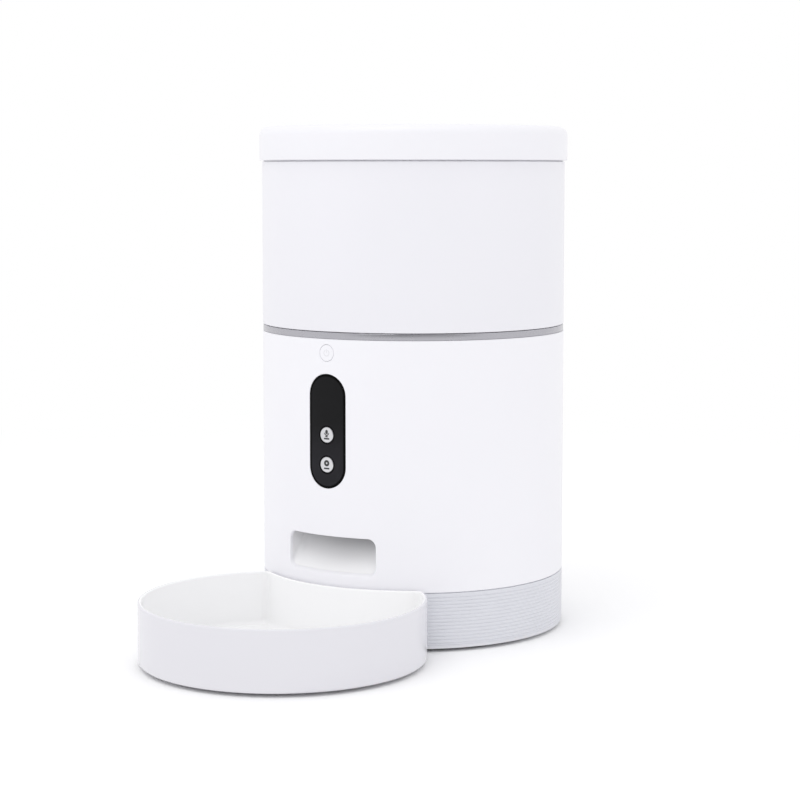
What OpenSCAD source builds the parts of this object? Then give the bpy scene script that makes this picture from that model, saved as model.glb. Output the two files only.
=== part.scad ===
// Automatic pet feeder with a camera: a round body on a ribbed base, a lift-off
// hopper with a loose lid, a rotor that portions dry food into a chute, and a
// free-standing bowl whose back hugs the body.
// Millimetres. The origin is on the floor under the body's axis, +Z is up and
// the outlet and the bowl face -Y.

/* [Body] */
// Outer radius of the body and the hopper
body_r = 110; // [100:1:132]
// Wall of the body shell, the hopper and the lid
wall = 2.4; // [2:0.1:3]
// Height of the body shell between the base and the trim ring
shell_h = 174.2; // [165:0.1:210]
// Height of the trim ring under the hopper
trim_h = 4.8; // [3:0.1:7]
// Shadow gap between the base ring and the body shell
seam = 0.6; // [0.4:0.1:1]
// Distance of the screw posts from the body's edge
post_inset = 11; // [10:0.5:14]
// Radius of the screw posts
post_r = 5; // [4.5:0.1:5.5]

/* [Base] */
// Height of the rubber foot ring below the base plate
foot_h = 2.4; // [1.5:0.1:4]
// Width of the rubber foot ring
foot_w = 10; // [6:0.5:14]
// Distance of the foot ring's middle from the body's edge
foot_inset = 13; // [10:0.5:18]
// Depth of the groove that holds the foot ring
foot_groove = 1; // [0.6:0.1:1.4]
// Thickness of the base plate
plate_t = 2.5; // [2.5:0.1:4]
// Height of the ribbed base ring
base_ring_h = 36.4; // [34:0.1:46]
// Wall of the base ring
base_wall = 2.8; // [2.4:0.1:3.2]
// Distance between the ribs of the base ring
rib_pitch = 2.46; // [2:0.01:4]
// Radius of the grooves between the ribs
rib_groove_r = 0.55; // [0.4:0.05:0.8]

/* [Hopper and lid] */
// Height of the hopper's outer wall
hopper_h = 117; // [90:1:150]
// Height of the neck that stands up inside the lid
neck_h = 7.3; // [6:0.1:9]
// Gap between the hopper's wall and the lid's skirt
lid_gap = 0.9; // [0.6:0.1:1.5]
// Height of the lid
lid_h = 24.2; // [22:0.1:32]
// Overhang of the lid past the hopper
lid_overhang = 1.9; // [1.6:0.1:3]
// Rounding of the lid's top edge
lid_round = 6.5; // [4:0.1:8]
// Thickness of the lid's inner plate
liner_t = 2.2; // [1.6:0.1:3]
// Radius of the desiccant pocket in the lid
pocket_r = 32; // [24:1:40]
// Depth of the desiccant pocket
pocket_h = 8; // [6:0.5:9]

/* [Dispenser] */
// Height of the deck below the top of the body shell
deck_drop = 34.1; // [32:0.1:40]
// Thickness of the deck
deck_t = 3; // [2.5:0.1:4]
// Inner radius of the rotor drum
cup_r = 49; // [44:0.5:54]
// Depth of the rotor drum
drum_depth = 25.5; // [22:0.5:32]
// Thickness of the drum's floor
floor_t = 3.5; // [3:0.1:5]
// Number of rotor vanes
vane_count = 6; // [4:1:8]
// Thickness of a rotor vane
vane_t = 2.4; // [1.6:0.1:4]
// Radius of the rotor's hub
hub_r = 12; // [10:0.5:13]
// Half angle of the exit window in the drum's floor
window_half = 28; // [20:1:28]
// Inner radius of the exit window
window_r = 31; // [30:0.5:36]
// Slope of the funnel
funnel_slope = 29.7; // [26:0.1:32]

/* [Drive] */
// Module of the gear teeth
tooth_module = 0.8; // [0.7:0.05:0.85]
// Teeth on a pinion
pinion_teeth = 12; // [12:1:14]
// Teeth on a large gear
gear_teeth = 48; // [44:4:52]
// Width of the gears
gear_t = 5.5; // [4:0.1:6]
// Pressure angle of the teeth
pressure_angle = 25; // [20:1:25]
// Play at each tooth flank
backlash = 0.1; // [0.06:0.01:0.2]
// Radius of the rotor shaft
shaft_r = 4; // [3:0.1:4.5]
// Radius of the idler pin and of the motor shaft
pin_r = 2; // [1.5:0.1:2.5]
// Radius of the geared motor
motor_r = 12.5; // [11:0.5:13.5]
// Length of the geared motor
motor_l = 51; // [40:1:60]

/* [Outlet] */
// Width of the food outlet
outlet_w = 73; // [60:1:80]
// Height of the food outlet
outlet_h = 24.6; // [20:0.1:30]
// Height of the outlet's lower edge above the bottom of the body shell
outlet_rise = 12.1; // [10:0.1:20]
// Corner radius of the outlet
outlet_corner = 6; // [4:0.5:8]
// Wall of the chute
chute_wall = 1.8; // [1.4:0.1:2.4]

/* [Controls] */
// Width of the control panel
panel_w = 30.4; // [28:0.2:36]
// Height of the control panel
panel_h = 80; // [76:1:84]
// Thickness of the control panel
panel_t = 1.4; // [1:0.1:1.6]
// Distance of the panel's top from the top of the body shell
panel_drop = 24.2; // [20:0.1:30]
// Radius of the record and play buttons
button_r = 5.45; // [4:0.05:6]
// Distance of the record button from the top of the body shell
record_drop = 66.7; // [62:0.1:70]
// Distance of the play button from the top of the body shell
play_drop = 87.5; // [84:0.1:90]
// Radius of the power button
power_r = 5.75; // [5:0.05:6]
// Distance of the power button from the top of the body shell
power_drop = 9.7; // [9.6:0.1:10.5]
// Distance of the camera from the top of the body shell
camera_drop = 40; // [36:0.1:46]
// Travel of the buttons
press = 0.5; // [0.3:0.05:0.6]
// Distance of the front board behind the shell
board_gap = 12.6; // [12:0.1:16]

/* [Battery bay] */
// Diameter of one battery cell
cell_d = 34.2; // [26:0.1:34.2]
// Length of one battery cell
cell_l = 61.5; // [50:0.1:61.5]
// Number of cells side by side
cell_count = 3; // [2:1:3]
// Wall of the battery tray
bay_wall = 1.8; // [1.5:0.1:2.5]
// Thickness of the battery door
door_t = 2; // [1.8:0.1:2.2]

/* [Bowl] */
// Outer radius of the bowl
bowl_r = 97.7; // [85:0.1:110]
// Height of the bowl's wall
bowl_h = 41.5; // [30:0.1:48]
// Wall of the bowl
bowl_wall = 2.6; // [2:0.1:4]
// Distance of the bowl's centre in front of the body's axis
bowl_reach = 161.8; // [150:0.1:180]
// Height of the bowl's feet
bowl_foot_h = 2.5; // [2:0.1:4]
// Gap between the bowl and the body
bowl_gap = 0.7; // [0.4:0.1:2]
// Rounding of the bowl's two corners beside the body
bowl_corner = 8; // [5:0.5:12]

/* [Fits] */
// Gap between fixed pieces that fit into each other
fit = 0.15; // [0.1:0.05:0.2]
// Gap between pieces that move past each other
slip = 0.3; // [0.3:0.05:0.4]
// Radial play of shafts and pins
running = 0.05; // [0.03:0.01:0.08]

/* [Hidden] */
$fn = 120;

white_plastic = [0.95, 0.95, 0.97];
silver_plastic = [0.80, 0.81, 0.84];
trim_silver = [0.62, 0.62, 0.65];
panel_black = [0.12, 0.12, 0.13];
rubber_grey = [0.25, 0.25, 0.26];
steel = [0.70, 0.71, 0.72];
brass = [0.80, 0.65, 0.35];
board_green = [0.10, 0.40, 0.25];
gear_cream = [0.92, 0.90, 0.80];
inner_grey = [0.75, 0.76, 0.78];
dark_metal = [0.35, 0.35, 0.37];
silicone_grey = [0.82, 0.82, 0.84];

// Heights of the main parting lines
ring_z = foot_h + plate_t;
ring_top = ring_z + base_ring_h;
shell_z = ring_top + seam;
shell_top = shell_z + shell_h;
trim_top = shell_top + trim_h;
hopper_z = trim_top + slip;
hopper_top = hopper_z + hopper_h;
neck_top = hopper_top + neck_h;
lid_z = hopper_top + lid_gap;
lid_top = lid_z + lid_h;

// Radii of the walls
shell_in = body_r - wall;
ring_in = body_r - base_wall;
spigot_t = 2.4;
spigot_out = shell_in - fit;
spigot_h = 6.4;
ledge_w = 1.2;
lid_r = body_r + lid_overhang;

// Screw posts and the screws in them
post_pos = body_r - post_inset;
post_top = shell_z + spigot_h + slip;
screw_r = 1.5;
screw_l = 14;
screw_head_r = 2.8;
screw_head_h = 2.2;
small_screw_r = 1.2;
small_screw_l = 7;
small_head_r = 2.3;
small_head_h = 1.6;
screw_seat = 6;

// Dispenser levels, from the deck down
deck_z = shell_top - deck_drop;
deck_top = deck_z + deck_t;
drum_floor = deck_top - drum_depth;
drum_z = drum_floor - floor_t;
cup_wall = 3.4;
guard_ledge = 2;
guard_t = 2;
collar_in = cup_r + guard_ledge;
collar_out = collar_in + wall;
collar_h = 7;
rotor_z = drum_floor + slip;
rotor_r = cup_r - 2 * slip;
rotor_top = deck_top - 4 * slip;
guard_overlap = 8;
guard_half = window_half + guard_overlap;
guard_hub_gap = 2.5;
guard_in = hub_r + guard_hub_gap;

// Gear train: rotor gear, compound idler and motor pinion on one line
axle_gap = tooth_module * (pinion_teeth + gear_teeth) / 2;
idler_y = axle_gap;
motor_y = 2 * axle_gap;
boss_h = 6;
boss_z = drum_z - boss_h;
bush_wall = 2;
bush_r = shaft_r + running + bush_wall;
bush_flange_t = 1;
upper_gear_top = boss_z - bush_flange_t - slip;
upper_gear_z = upper_gear_top - gear_t;
gear_step = 1.5;
lower_gear_top = upper_gear_z - gear_step;
lower_gear_z = lower_gear_top - gear_t;
gear_tip_r = tooth_module * (gear_teeth / 2 + 1);
box_room = 0.8;
box_wall = 2;
box_in_r = gear_tip_r + box_room;
box_waist = 1.4;
box_neck = box_in_r - box_waist;
box_drop = 3;
box_floor = lower_gear_z - box_drop;
box_z = box_floor - box_wall;
motor_room = 14;
nose_wall = 1.8;
motor_nose_r = pin_r + nose_wall;
motor_screw_inset = 3.8;
motor_screw_x = motor_r - motor_screw_inset;
ear_r = 4.6;
ear_t = 3;
ear_gap = screw_head_r + 2 * slip;
ear_reach = box_in_r + box_wall + ear_gap;
ear_angle = 38;
ear_spots = [
    [box_neck + box_wall + ear_gap, idler_y / 2],
    [ear_reach * cos(ear_angle), idler_y + ear_reach * sin(ear_angle)]
];

// Funnel and hopper
throat_out = collar_in - 1.4 * slip;
throat_in = throat_out - wall;
throat_gap = 0.5;
throat_z = deck_top + guard_t + throat_gap;
throat_h = 7;
cone_z = throat_z + throat_h;
hopper_spigot_out = spigot_out - spigot_t - 2 * slip;
hopper_spigot_in = hopper_spigot_out - spigot_t;
hopper_spigot_h = 6.2;
ledge_top = hopper_z + wall;
cone_edge = 0.5;
cone_r = min(hopper_spigot_in - cone_edge, throat_out + (ledge_top - cone_z) / tan(funnel_slope));
cone_rise = wall / cos(funnel_slope);
neck_step = 1.4;
neck_out = body_r - neck_step;
neck_t = 3.2;
neck_in = neck_out - neck_t;

// Lid
seal_z = neck_top + slip;
seal_t = 2.2;
liner_z = seal_z + seal_t;
plug_gap = 0.4;
plug_out = neck_in - plug_gap;
plug_t = 2;
plug_h = 8;
cap_t = 2.4;
cap_z = liner_z - slip - cap_t;
cap_lip = 4;
cap_r = pocket_r + cap_lip;

// Outlet and chute
outlet_z = shell_z + outlet_rise;
mouth_y = -sqrt(pow(shell_in, 2) - pow(outlet_w / 2, 2));
chute_margin = 0.5;
chute_side = 1.5;
chute_top_w = 2 * (cup_r * sin(window_half) + chute_side);
chute_back = -(window_r * cos(window_half) - chute_margin);
chute_front = -(cup_r - chute_margin);
chute_ear_x = chute_top_w / 2 + chute_wall + ear_gap + 2 * slip;
chute_ear_y = (chute_back + chute_front) / 2;

// Controls
panel_top = shell_top - panel_drop;
panel_mid = panel_top - panel_h / 2;
record_z = shell_top - record_drop;
play_z = shell_top - play_drop;
power_z = shell_top - power_drop;
camera_z = shell_top - camera_drop;
button_fit = 0.2;
button_proud = 0.25;
board_y = -(shell_in - board_gap);
board_t = 1.6;
board_w = 26;
board_above = 4.6;
board_top = power_z + board_above;
board_lift = 1.2;
board_low = panel_top - panel_h + board_lift;
switch_h = 3.8;
switch_w = 6;
stem_r = 2.5;
stem_end = board_y - switch_h - press - slip;
flange_gap = 0.5;
flange_y = flange_gap - shell_in;
flange_t = 1;
standoff_r = 3;
standoff_x = 8;
standoff_rise = 4.5;
standoff_z = [board_low + standoff_rise, panel_top];
camera_w = 10;
camera_base = 4;
barrel_r = 4;
camera_face = board_y - camera_base;
barrel_l = 6;
lens_r = 3.2;
lens_seat = 2;
lens_inset = 0.6;
camera_hole_r = 6;

// Battery bay
cell_play = 0.6;
contact_room = 9;
bay_w = cell_count * (cell_d + cell_play);
bay_l = cell_l + contact_room;
bay_head = 0.8;
bay_h = cell_d + bay_head;
door_rim = 1.5;
door_w = bay_w + 2 * door_rim;
door_l = bay_l + 2 * door_rim;
tray_top = ring_z + bay_h + bay_wall;
tray_flange = 4;
hinge_r = 1.1;
hinge_pin_r = 0.7;
hinge_pin_l = 2;
hinge_y = door_l / 2 - hinge_r - slip;
hinge_z = foot_h + hinge_r;
contact_t = 0.5;

// Boards, speaker and inlet
main_board_w = 94;
main_board_l = 60;
main_board_post = 5;
main_board_z = tray_top + main_board_post;
main_board_edge = 5;
speaker_r = 20;
speaker_h = 15;
speaker_wall = 1.6;
speaker_gap = 3;
speaker_y = bay_l / 2 + bay_wall + tray_flange + speaker_r + speaker_gap;
inlet_w = 16;
inlet_h = 9;
inlet_rise = 15;
inlet_z = ring_z + inlet_rise;
inlet_flange = 2.5;
inlet_depth = 9;
socket_w = 9.2;
socket_h = 3.4;

// Bowl
bowl_floor = 3;
bowl_fillet = 10;
bowl_edge = 2;
bowl_back = body_r + bowl_gap;
corner_far = bowl_back + bowl_corner;
corner_near = bowl_r - bowl_corner;
corner_y = -(pow(corner_far, 2) - pow(corner_near, 2) + pow(bowl_reach, 2)) / (2 * bowl_reach);
corner_x = sqrt(pow(corner_far, 2) - pow(corner_y, 2));
bowl_foot_r = 5;
bowl_foot_ring = 75;
bowl_foot_seat = 0.8;
bowl_foot_angles = [20, 160, 215, 325];

// Shared shapes

// Upright cylinder between two heights
module upright(r, z0, z1) {
    translate([0, 0, z0]) cylinder(r = r, h = z1 - z0);
}

// Flat ring between two radii and two heights
module ring(r0, r1, z0, z1) {
    rotate_extrude() translate([r0, z0]) square([r1 - r0, z1 - z0]);
}

// Cylinder along Y between two depths, centred at a height
module along_y(r, y0, y1, z) {
    translate([0, y1, z]) rotate([90, 0, 0]) cylinder(r = r, h = y1 - y0);
}

// Box given by its width, its depth range and its height range, centred on X
module centred_box(w, y0, y1, z0, z1) {
    translate([-w / 2, y0, z0]) cube([w, y1 - y0, z1 - z0]);
}

// Copies of the children on a circle
module around(count, r, start) {
    for (i = [0 : count - 1]) rotate(start + i * 360 / count) translate([r, 0, 0]) children();
}

// Copies of the children at places and at their mirror images in X
module both_sides(spots) {
    for (p = spots, side = [-1, 1]) translate([side * p[0], p[1], 0]) children();
}

// Screw that points up, with the underside of its head at z = 0
module screw(r, l, head_r, head_h) {
    upright(r, 0, l);
    upright(head_r, -head_h, 0);
}

// Rectangle with round corners
module rounded_rect(w, h, r) {
    square([w - 2 * r, h], center = true);
    square([w, h - 2 * r], center = true);
    for (x = [-1, 1], y = [-1, 1]) translate([x * (w / 2 - r), y * (h / 2 - r)]) circle(r = r);
}

// Oblong with half-round ends
module oblong(w, h) {
    square([w, h - w], center = true);
    for (side = [-1, 1]) translate([0, side * (h - w) / 2]) circle(r = w / 2);
}

// Half profile of a round cap with a rounded top edge
module rounded_cap(r, z0, z1, round) {
    translate([0, z0]) square([r, z1 - z0 - round]);
    translate([0, z0]) square([r - round, z1 - z0]);
    translate([r - round, z1 - round]) circle(r = round);
}

// The children's outline pushed along -Y through the front of the body, around a height
module through_front(z) {
    depth = 30;
    translate([0, depth - body_r - 5, z]) rotate([90, 0, 0]) linear_extrude(depth) children();
}

// Gear teeth

function involute(a) = tan(a) - a * PI / 180;
function half_tooth(teeth, m, r) =
    let (pitch_r = teeth * m / 2)
    let (base_r = pitch_r * cos(pressure_angle))
    let (slope = acos(min(1, base_r / r)))
    let (half = PI / 2 / teeth - backlash / pitch_r / 2)
    (half + involute(pressure_angle) - involute(slope)) * 180 / PI;

// One tooth from root to root, centred on +X
function tooth(teeth, m) =
    let (pitch_r = teeth * m / 2)
    let (root_r = pitch_r - 1.2 * m)
    let (start_r = max(root_r + 0.1 * m, pitch_r * cos(pressure_angle)))
    let (tip_r = pitch_r + m)
    let (rise = [start_r, (start_r + pitch_r) / 2, pitch_r, (pitch_r + tip_r) / 2, tip_r])
    let (flank = [for (r = rise) [r, half_tooth(teeth, m, r)]])
    let (up = concat([[root_r, flank[0][1]]], flank))
    concat([for (p = up) [p[0], -p[1]]], [for (i = [len(up) - 1 : -1 : 0]) up[i]]);

// Spur gear standing on z, with one tooth pointing at the angle
module spur_gear(teeth, z, t, angle) {
    shape = tooth(teeth, tooth_module);
    outline = [
        for (i = [0 : teeth - 1], p = shape)
            let (a = p[1] + angle + i * 360 / teeth)
            [p[0] * cos(a), p[0] * sin(a)]
    ];
    translate([0, 0, z]) linear_extrude(t) polygon(outline);
}

// Base

// Non-slip rubber ring that the body stands on, glued into the base plate's groove
module foot_ring() {
    mid = body_r - foot_inset;
    edge = 0.6;
    inner = mid - foot_w / 2;
    outer = mid + foot_w / 2;
    top = foot_h + foot_groove;
    color(rubber_grey) rotate_extrude() polygon([
        [inner + edge, 0], [outer - edge, 0], [outer, edge], [outer, top], [inner, top], [inner, edge]
    ]);
}

// Well for a screw head and a hole for its shank, inside a post
module screw_well(z0, seat_z, z1) {
    upright(screw_head_r + slip, z0, seat_z);
    upright(screw_r + fit, seat_z - 1, z1);
}

// Bottom cover with the screw posts, the speaker grille and the battery opening
module base_plate() {
    mid = body_r - foot_inset;
    edge = 0.8;
    rim_h = 4;
    edge_r = body_r - 0.3;
    hole_r = 1.5;
    hole_rows = [[1, 0], [6, 6], [12, 12]];
    color(silver_plastic) difference() {
        union() {
            rotate_extrude() polygon([
                [0, foot_h], [edge_r - edge, foot_h], [edge_r, foot_h + edge], [edge_r, ring_z],
                [0, ring_z]
            ]);
            ring(ring_in - fit - wall, ring_in - fit, foot_h + 1, ring_z + rim_h);
            around(4, post_pos, 45) upright(post_r, ring_z - 1, post_top);
            translate([0, speaker_y]) {
                ring(speaker_r + fit, speaker_r + fit + speaker_wall, ring_z - 1, ring_z + 3);
            }
        }
        ring(mid - foot_w / 2 - fit, mid + foot_w / 2 + fit, foot_h - 1, foot_h + foot_groove);
        around(4, post_pos, 45) screw_well(foot_h, post_top - screw_seat, post_top + 1);
        centred_box(door_w, -door_l / 2, door_l / 2, foot_h - 1, ring_z + 1);
        translate([0, hinge_y, hinge_z]) rotate([0, 90, 0]) {
            cylinder(r = hinge_pin_r + running, h = door_w + 2 * hinge_pin_l + slip, center = true);
        }
        translate([0, -door_l / 2]) upright(6, foot_h - 1, foot_h + plate_t / 2);
        translate([0, speaker_y]) {
            for (row = hole_rows) around(row[0], row[1], 0) upright(hole_r, foot_h - 1, ring_z + 1);
        }
    }
}

// Ribbed silver ring between the base plate and the body shell
module base_ring() {
    rib_count = floor((base_ring_h - rib_pitch) / rib_pitch);
    ledge_r = body_r - ledge_w;
    spigot_in = spigot_out - spigot_t;
    shoulder_z = ring_top - 4;
    color(silver_plastic) difference() {
        rotate_extrude() difference() {
            polygon([
                [ring_in, ring_z], [body_r, ring_z], [body_r, ring_top], [ledge_r, ring_top],
                [ledge_r, shell_z], [spigot_out, shell_z], [spigot_out, shell_z + spigot_h],
                [spigot_in, shell_z + spigot_h], [spigot_in, shoulder_z],
                [ring_in, shoulder_z - spigot_t]
            ]);
            for (i = [0 : rib_count]) {
                translate([body_r + rib_groove_r / 4, ring_z + (i + 0.5) * rib_pitch]) {
                    circle(r = rib_groove_r);
                }
            }
        }
        centred_box(inlet_w, 0, body_r + 1, inlet_z - inlet_h / 2, inlet_z + inlet_h / 2);
    }
}

// Four screws that pull the base plate, the base ring and the body shell together
module base_screws() {
    color(steel) around(4, post_pos, 45) translate([0, 0, post_top - screw_seat]) {
        screw(screw_r, screw_l, screw_head_r, screw_head_h);
    }
}

// Open-bottomed box that holds the backup cells, with posts for the main board
module battery_tray() {
    box_w = bay_w + 2 * bay_wall;
    box_l = bay_l + 2 * bay_wall;
    rib_h = 7;
    rib_t = 1.2;
    color(inner_grey) difference() {
        union() {
            centred_box(box_w, -box_l / 2, box_l / 2, ring_z, tray_top);
            centred_box(
                box_w + 2 * tray_flange, -box_l / 2 - tray_flange, box_l / 2 + tray_flange,
                ring_z, ring_z + bay_wall
            );
            main_board_places() upright(standoff_r, tray_top - 1, main_board_z);
        }
        difference() {
            centred_box(bay_w, -bay_l / 2, bay_l / 2, ring_z - 1, tray_top - bay_wall);
            for (i = [1 : cell_count - 1]) {
                translate([i * bay_w / cell_count - bay_w / 2, 0, 0]) {
                    centred_box(
                        rib_t, -bay_l / 2 - 1, bay_l / 2 + 1, tray_top - bay_wall - rib_h, tray_top
                    );
                }
            }
        }
        main_board_places() {
            upright(small_screw_r + running, main_board_z - small_screw_l, main_board_z + 1);
        }
    }
}

// Spring contact plates at both ends of each cell
module battery_contacts() {
    plate_w = 14;
    plate_h = 18;
    nub_r = 4;
    nub_h = 2;
    mid_z = ring_z + cell_d / 2;
    color(brass) {
        for (i = [0 : cell_count - 1], side = [0, 180]) rotate(side) {
            translate([(i + 0.5) * bay_w / cell_count - bay_w / 2, 0, 0]) {
                centred_box(
                    plate_w, bay_l / 2 - contact_t, bay_l / 2,
                    mid_z - plate_h / 2, mid_z + plate_h / 2
                );
                along_y(nub_r, bay_l / 2 - contact_t - nub_h, bay_l / 2 - contact_t, mid_z);
            }
        }
    }
}

// Hinged door under the cells, on two short pins at its back edge
module battery_door() {
    plate_w = door_w - 2 * slip;
    color(silver_plastic) {
        centred_box(plate_w, -door_l / 2 + slip, hinge_y, foot_h, foot_h + door_t);
        translate([0, hinge_y, hinge_z]) rotate([0, 90, 0]) {
            cylinder(r = hinge_r, h = plate_w, center = true);
            cylinder(r = hinge_pin_r, h = door_w + 2 * hinge_pin_l - slip, center = true);
        }
    }
}

// Loudspeaker that faces down onto the grille
module speaker() {
    frame_h = 4;
    magnet_r = 12;
    color(dark_metal) translate([0, speaker_y, ring_z]) rotate_extrude() difference() {
        union() {
            square([speaker_r, frame_h]);
            polygon([[0, 0], [speaker_r - 3, 0], [magnet_r, speaker_h - 4], [0, speaker_h - 4]]);
            square([magnet_r, speaker_h]);
        }
        polygon([[0, -1], [speaker_r - 3, -1], [speaker_r - 3, 0.6], [5, 7], [0, 5]]);
    }
}

// The four places where the main board is screwed down
module main_board_places() {
    both_sides([
        [main_board_w / 2 - main_board_edge, main_board_l / 2 - main_board_edge],
        [main_board_w / 2 - main_board_edge, main_board_edge - main_board_l / 2]
    ]) children();
}

// Main circuit board on the battery tray, with its larger components
module main_board() {
    top = main_board_z + board_t;
    sunk = 0.2;
    chip_w = 16;
    chip_h = 1.4;
    socket = [12, 8, 7];
    socket_at = [26, 20];
    capacitor_r = 4;
    capacitor_h = 10;
    capacitor_at = [22, -18];
    color(board_green) difference() {
        union() {
            centred_box(main_board_w, -main_board_l / 2, main_board_l / 2, main_board_z, top);
            centred_box(chip_w, -chip_w / 2, chip_w / 2, top - sunk, top + chip_h);
            both_sides([socket_at]) {
                centred_box(socket[0], -socket[1] / 2, socket[1] / 2, top - sunk, top + socket[2]);
            }
            both_sides([capacitor_at]) upright(capacitor_r, top - sunk, top + capacitor_h);
        }
        main_board_places() upright(small_screw_r + fit, main_board_z - 1, top + 1);
    }
}

// Small screws of the main board and of the front board
module board_screws() {
    color(steel) {
        main_board_places() translate([0, 0, main_board_z + board_t]) rotate([180, 0, 0]) {
            screw(small_screw_r, small_screw_l, small_head_r, small_head_h);
        }
        for (z = standoff_z, x = [-standoff_x, standoff_x]) {
            translate([x, board_y + board_t, z]) rotate([90, 0, 0]) {
                screw(small_screw_r, small_screw_l, small_head_r, small_head_h);
            }
        }
    }
}

// Power socket at the back of the base, held behind the ribbed ring
module power_inlet() {
    front = ring_in + base_wall / 2;
    back = ring_in - inlet_depth;
    w = inlet_w - 2 * fit;
    h = inlet_h - 2 * fit;
    flange_w = inlet_w + 2 * inlet_flange;
    flange_h = inlet_h + 2 * inlet_flange;
    tongue_h = 0.7;
    tongue_side = 1.25;
    flange_t = 3;
    color(panel_black) difference() {
        union() {
            centred_box(w, back, front, inlet_z - h / 2, inlet_z + h / 2);
            intersection() {
                centred_box(
                    flange_w, ring_in - flange_t, body_r, inlet_z - flange_h / 2, inlet_z + flange_h / 2
                );
                upright(ring_in - fit, ring_z, ring_top);
            }
        }
        difference() {
            translate([0, front + 1, inlet_z]) rotate([90, 0, 0]) {
                linear_extrude(inlet_depth) rotate(90) oblong(socket_h, socket_w);
            }
            centred_box(
                socket_w - 2 * tongue_side, back, front - 1,
                inlet_z - tongue_h / 2, inlet_z + tongue_h / 2
            );
        }
    }
}

// Body

// Places of the front board's standoffs on the inside of the shell
module board_places(r, y0, y1) {
    for (z = standoff_z, x = [-standoff_x, standoff_x]) translate([x, 0, 0]) along_y(r, y0, y1, z);
}

// Main body shell with the outlet, the panel recess and the screw columns
module body_shell() {
    web_t = 3;
    pilot_l = screw_l - screw_seat + 2;
    color(white_plastic) difference() {
        union() {
            ring(shell_in, body_r, shell_z, shell_top);
            around(4, post_pos, 45) {
                upright(post_r, post_top, deck_z);
                translate([0, -web_t / 2, post_top]) {
                    cube([post_inset - wall / 2, web_t, deck_z - post_top]);
                }
            }
            board_places(standoff_r, -(shell_in + wall / 2), board_y);
        }
        through_front(outlet_z + outlet_h / 2) rounded_rect(outlet_w, outlet_h, outlet_corner);
        difference() {
            through_front(panel_mid) oblong(panel_w, panel_h);
            upright(body_r - panel_t, shell_z, shell_top);
        }
        for (z = [record_z, play_z]) along_y(button_r + button_fit, -body_r - 1, -shell_in + 5, z);
        along_y(power_r + button_fit, -body_r - 1, -shell_in + 5, power_z);
        along_y(camera_hole_r, -body_r - 1, -shell_in + 5, camera_z);
        around(4, post_pos, 45) {
            upright(screw_r + running, post_top - 1, post_top + pilot_l);
            upright(screw_r + running, deck_z - screw_l, deck_z + 1);
        }
        board_places(small_screw_r + running, board_y - small_screw_l, board_y + 1);
    }
}

// Satin silver ring between the body shell and the hopper
module trim_ring() {
    outer = body_r - 0.3;
    inner = spigot_out - spigot_t;
    drop = 2.2;
    edge = 0.4;
    color(trim_silver) rotate_extrude() polygon([
        [inner, shell_top - drop], [spigot_out, shell_top - drop], [spigot_out, shell_top],
        [outer - edge, shell_top], [outer, shell_top + edge], [outer, trim_top - edge],
        [outer - edge, trim_top], [inner, trim_top]
    ]);
}

// Glossy curved panel in the front recess, dark in front of the camera
module control_panel() {
    color(panel_black) difference() {
        intersection() {
            through_front(panel_mid) oblong(panel_w - 2 * fit, panel_h - 2 * fit);
            ring(body_r - panel_t + fit / 3, body_r, shell_z, shell_top);
        }
        for (z = [record_z, play_z]) along_y(button_r + button_fit, -body_r - 1, -shell_in + 5, z);
    }
}

// Push button with a retaining flange and a stem that works a switch
module push_button(r, z, proud) {
    flange_r = r + 1.1;
    intersection() {
        along_y(r, -body_r - 2, flange_y + flange_t, z);
        upright(body_r + proud, z - 2 * r, z + 2 * r);
    }
    along_y(flange_r, flange_y, flange_y + flange_t, z);
    along_y(stem_r, flange_y, stem_end, z);
}

module record_button() {
    color(trim_silver) push_button(button_r, record_z, button_proud);
}

module play_button() {
    color(trim_silver) push_button(button_r, play_z, button_proud);
}

module power_button() {
    color(white_plastic) push_button(power_r, power_z, 0);
}

// Circuit board behind the controls, screwed to the shell's standoffs
module front_board() {
    color(board_green) difference() {
        centred_box(board_w, board_y, board_y + board_t, board_low, board_top);
        board_places(small_screw_r + fit, board_y - 1, board_y + board_t + 1);
    }
}

// Dome switches on the front board, one behind each button
module button_switches() {
    dome_r = 1.8;
    dome_h = 0.4;
    color(dark_metal) for (z = [record_z, play_z, power_z]) {
        centred_box(switch_w, board_y - switch_h + dome_h, board_y, z - switch_w / 2, z + switch_w / 2);
        along_y(dome_r, board_y - switch_h, board_y - switch_h + dome_h, z);
    }
}

// Camera block and barrel on the front board
module camera_module() {
    color(dark_metal) difference() {
        union() {
            centred_box(
                camera_w, camera_face, board_y, camera_z - camera_w / 2, camera_z + camera_w / 2
            );
            along_y(barrel_r, camera_face - barrel_l, camera_face, camera_z);
        }
        along_y(lens_r + running, camera_face - barrel_l - 1, camera_face - lens_seat, camera_z);
    }
}

// Domed glass lens in the camera barrel
module camera_lens() {
    back = camera_face - lens_seat;
    front = camera_face - barrel_l + lens_inset;
    dome = 7;
    color([0.25, 0.30, 0.40]) intersection() {
        along_y(lens_r, front - 2, back, camera_z);
        translate([0, front + dome, camera_z]) sphere(r = dome);
    }
}

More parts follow.
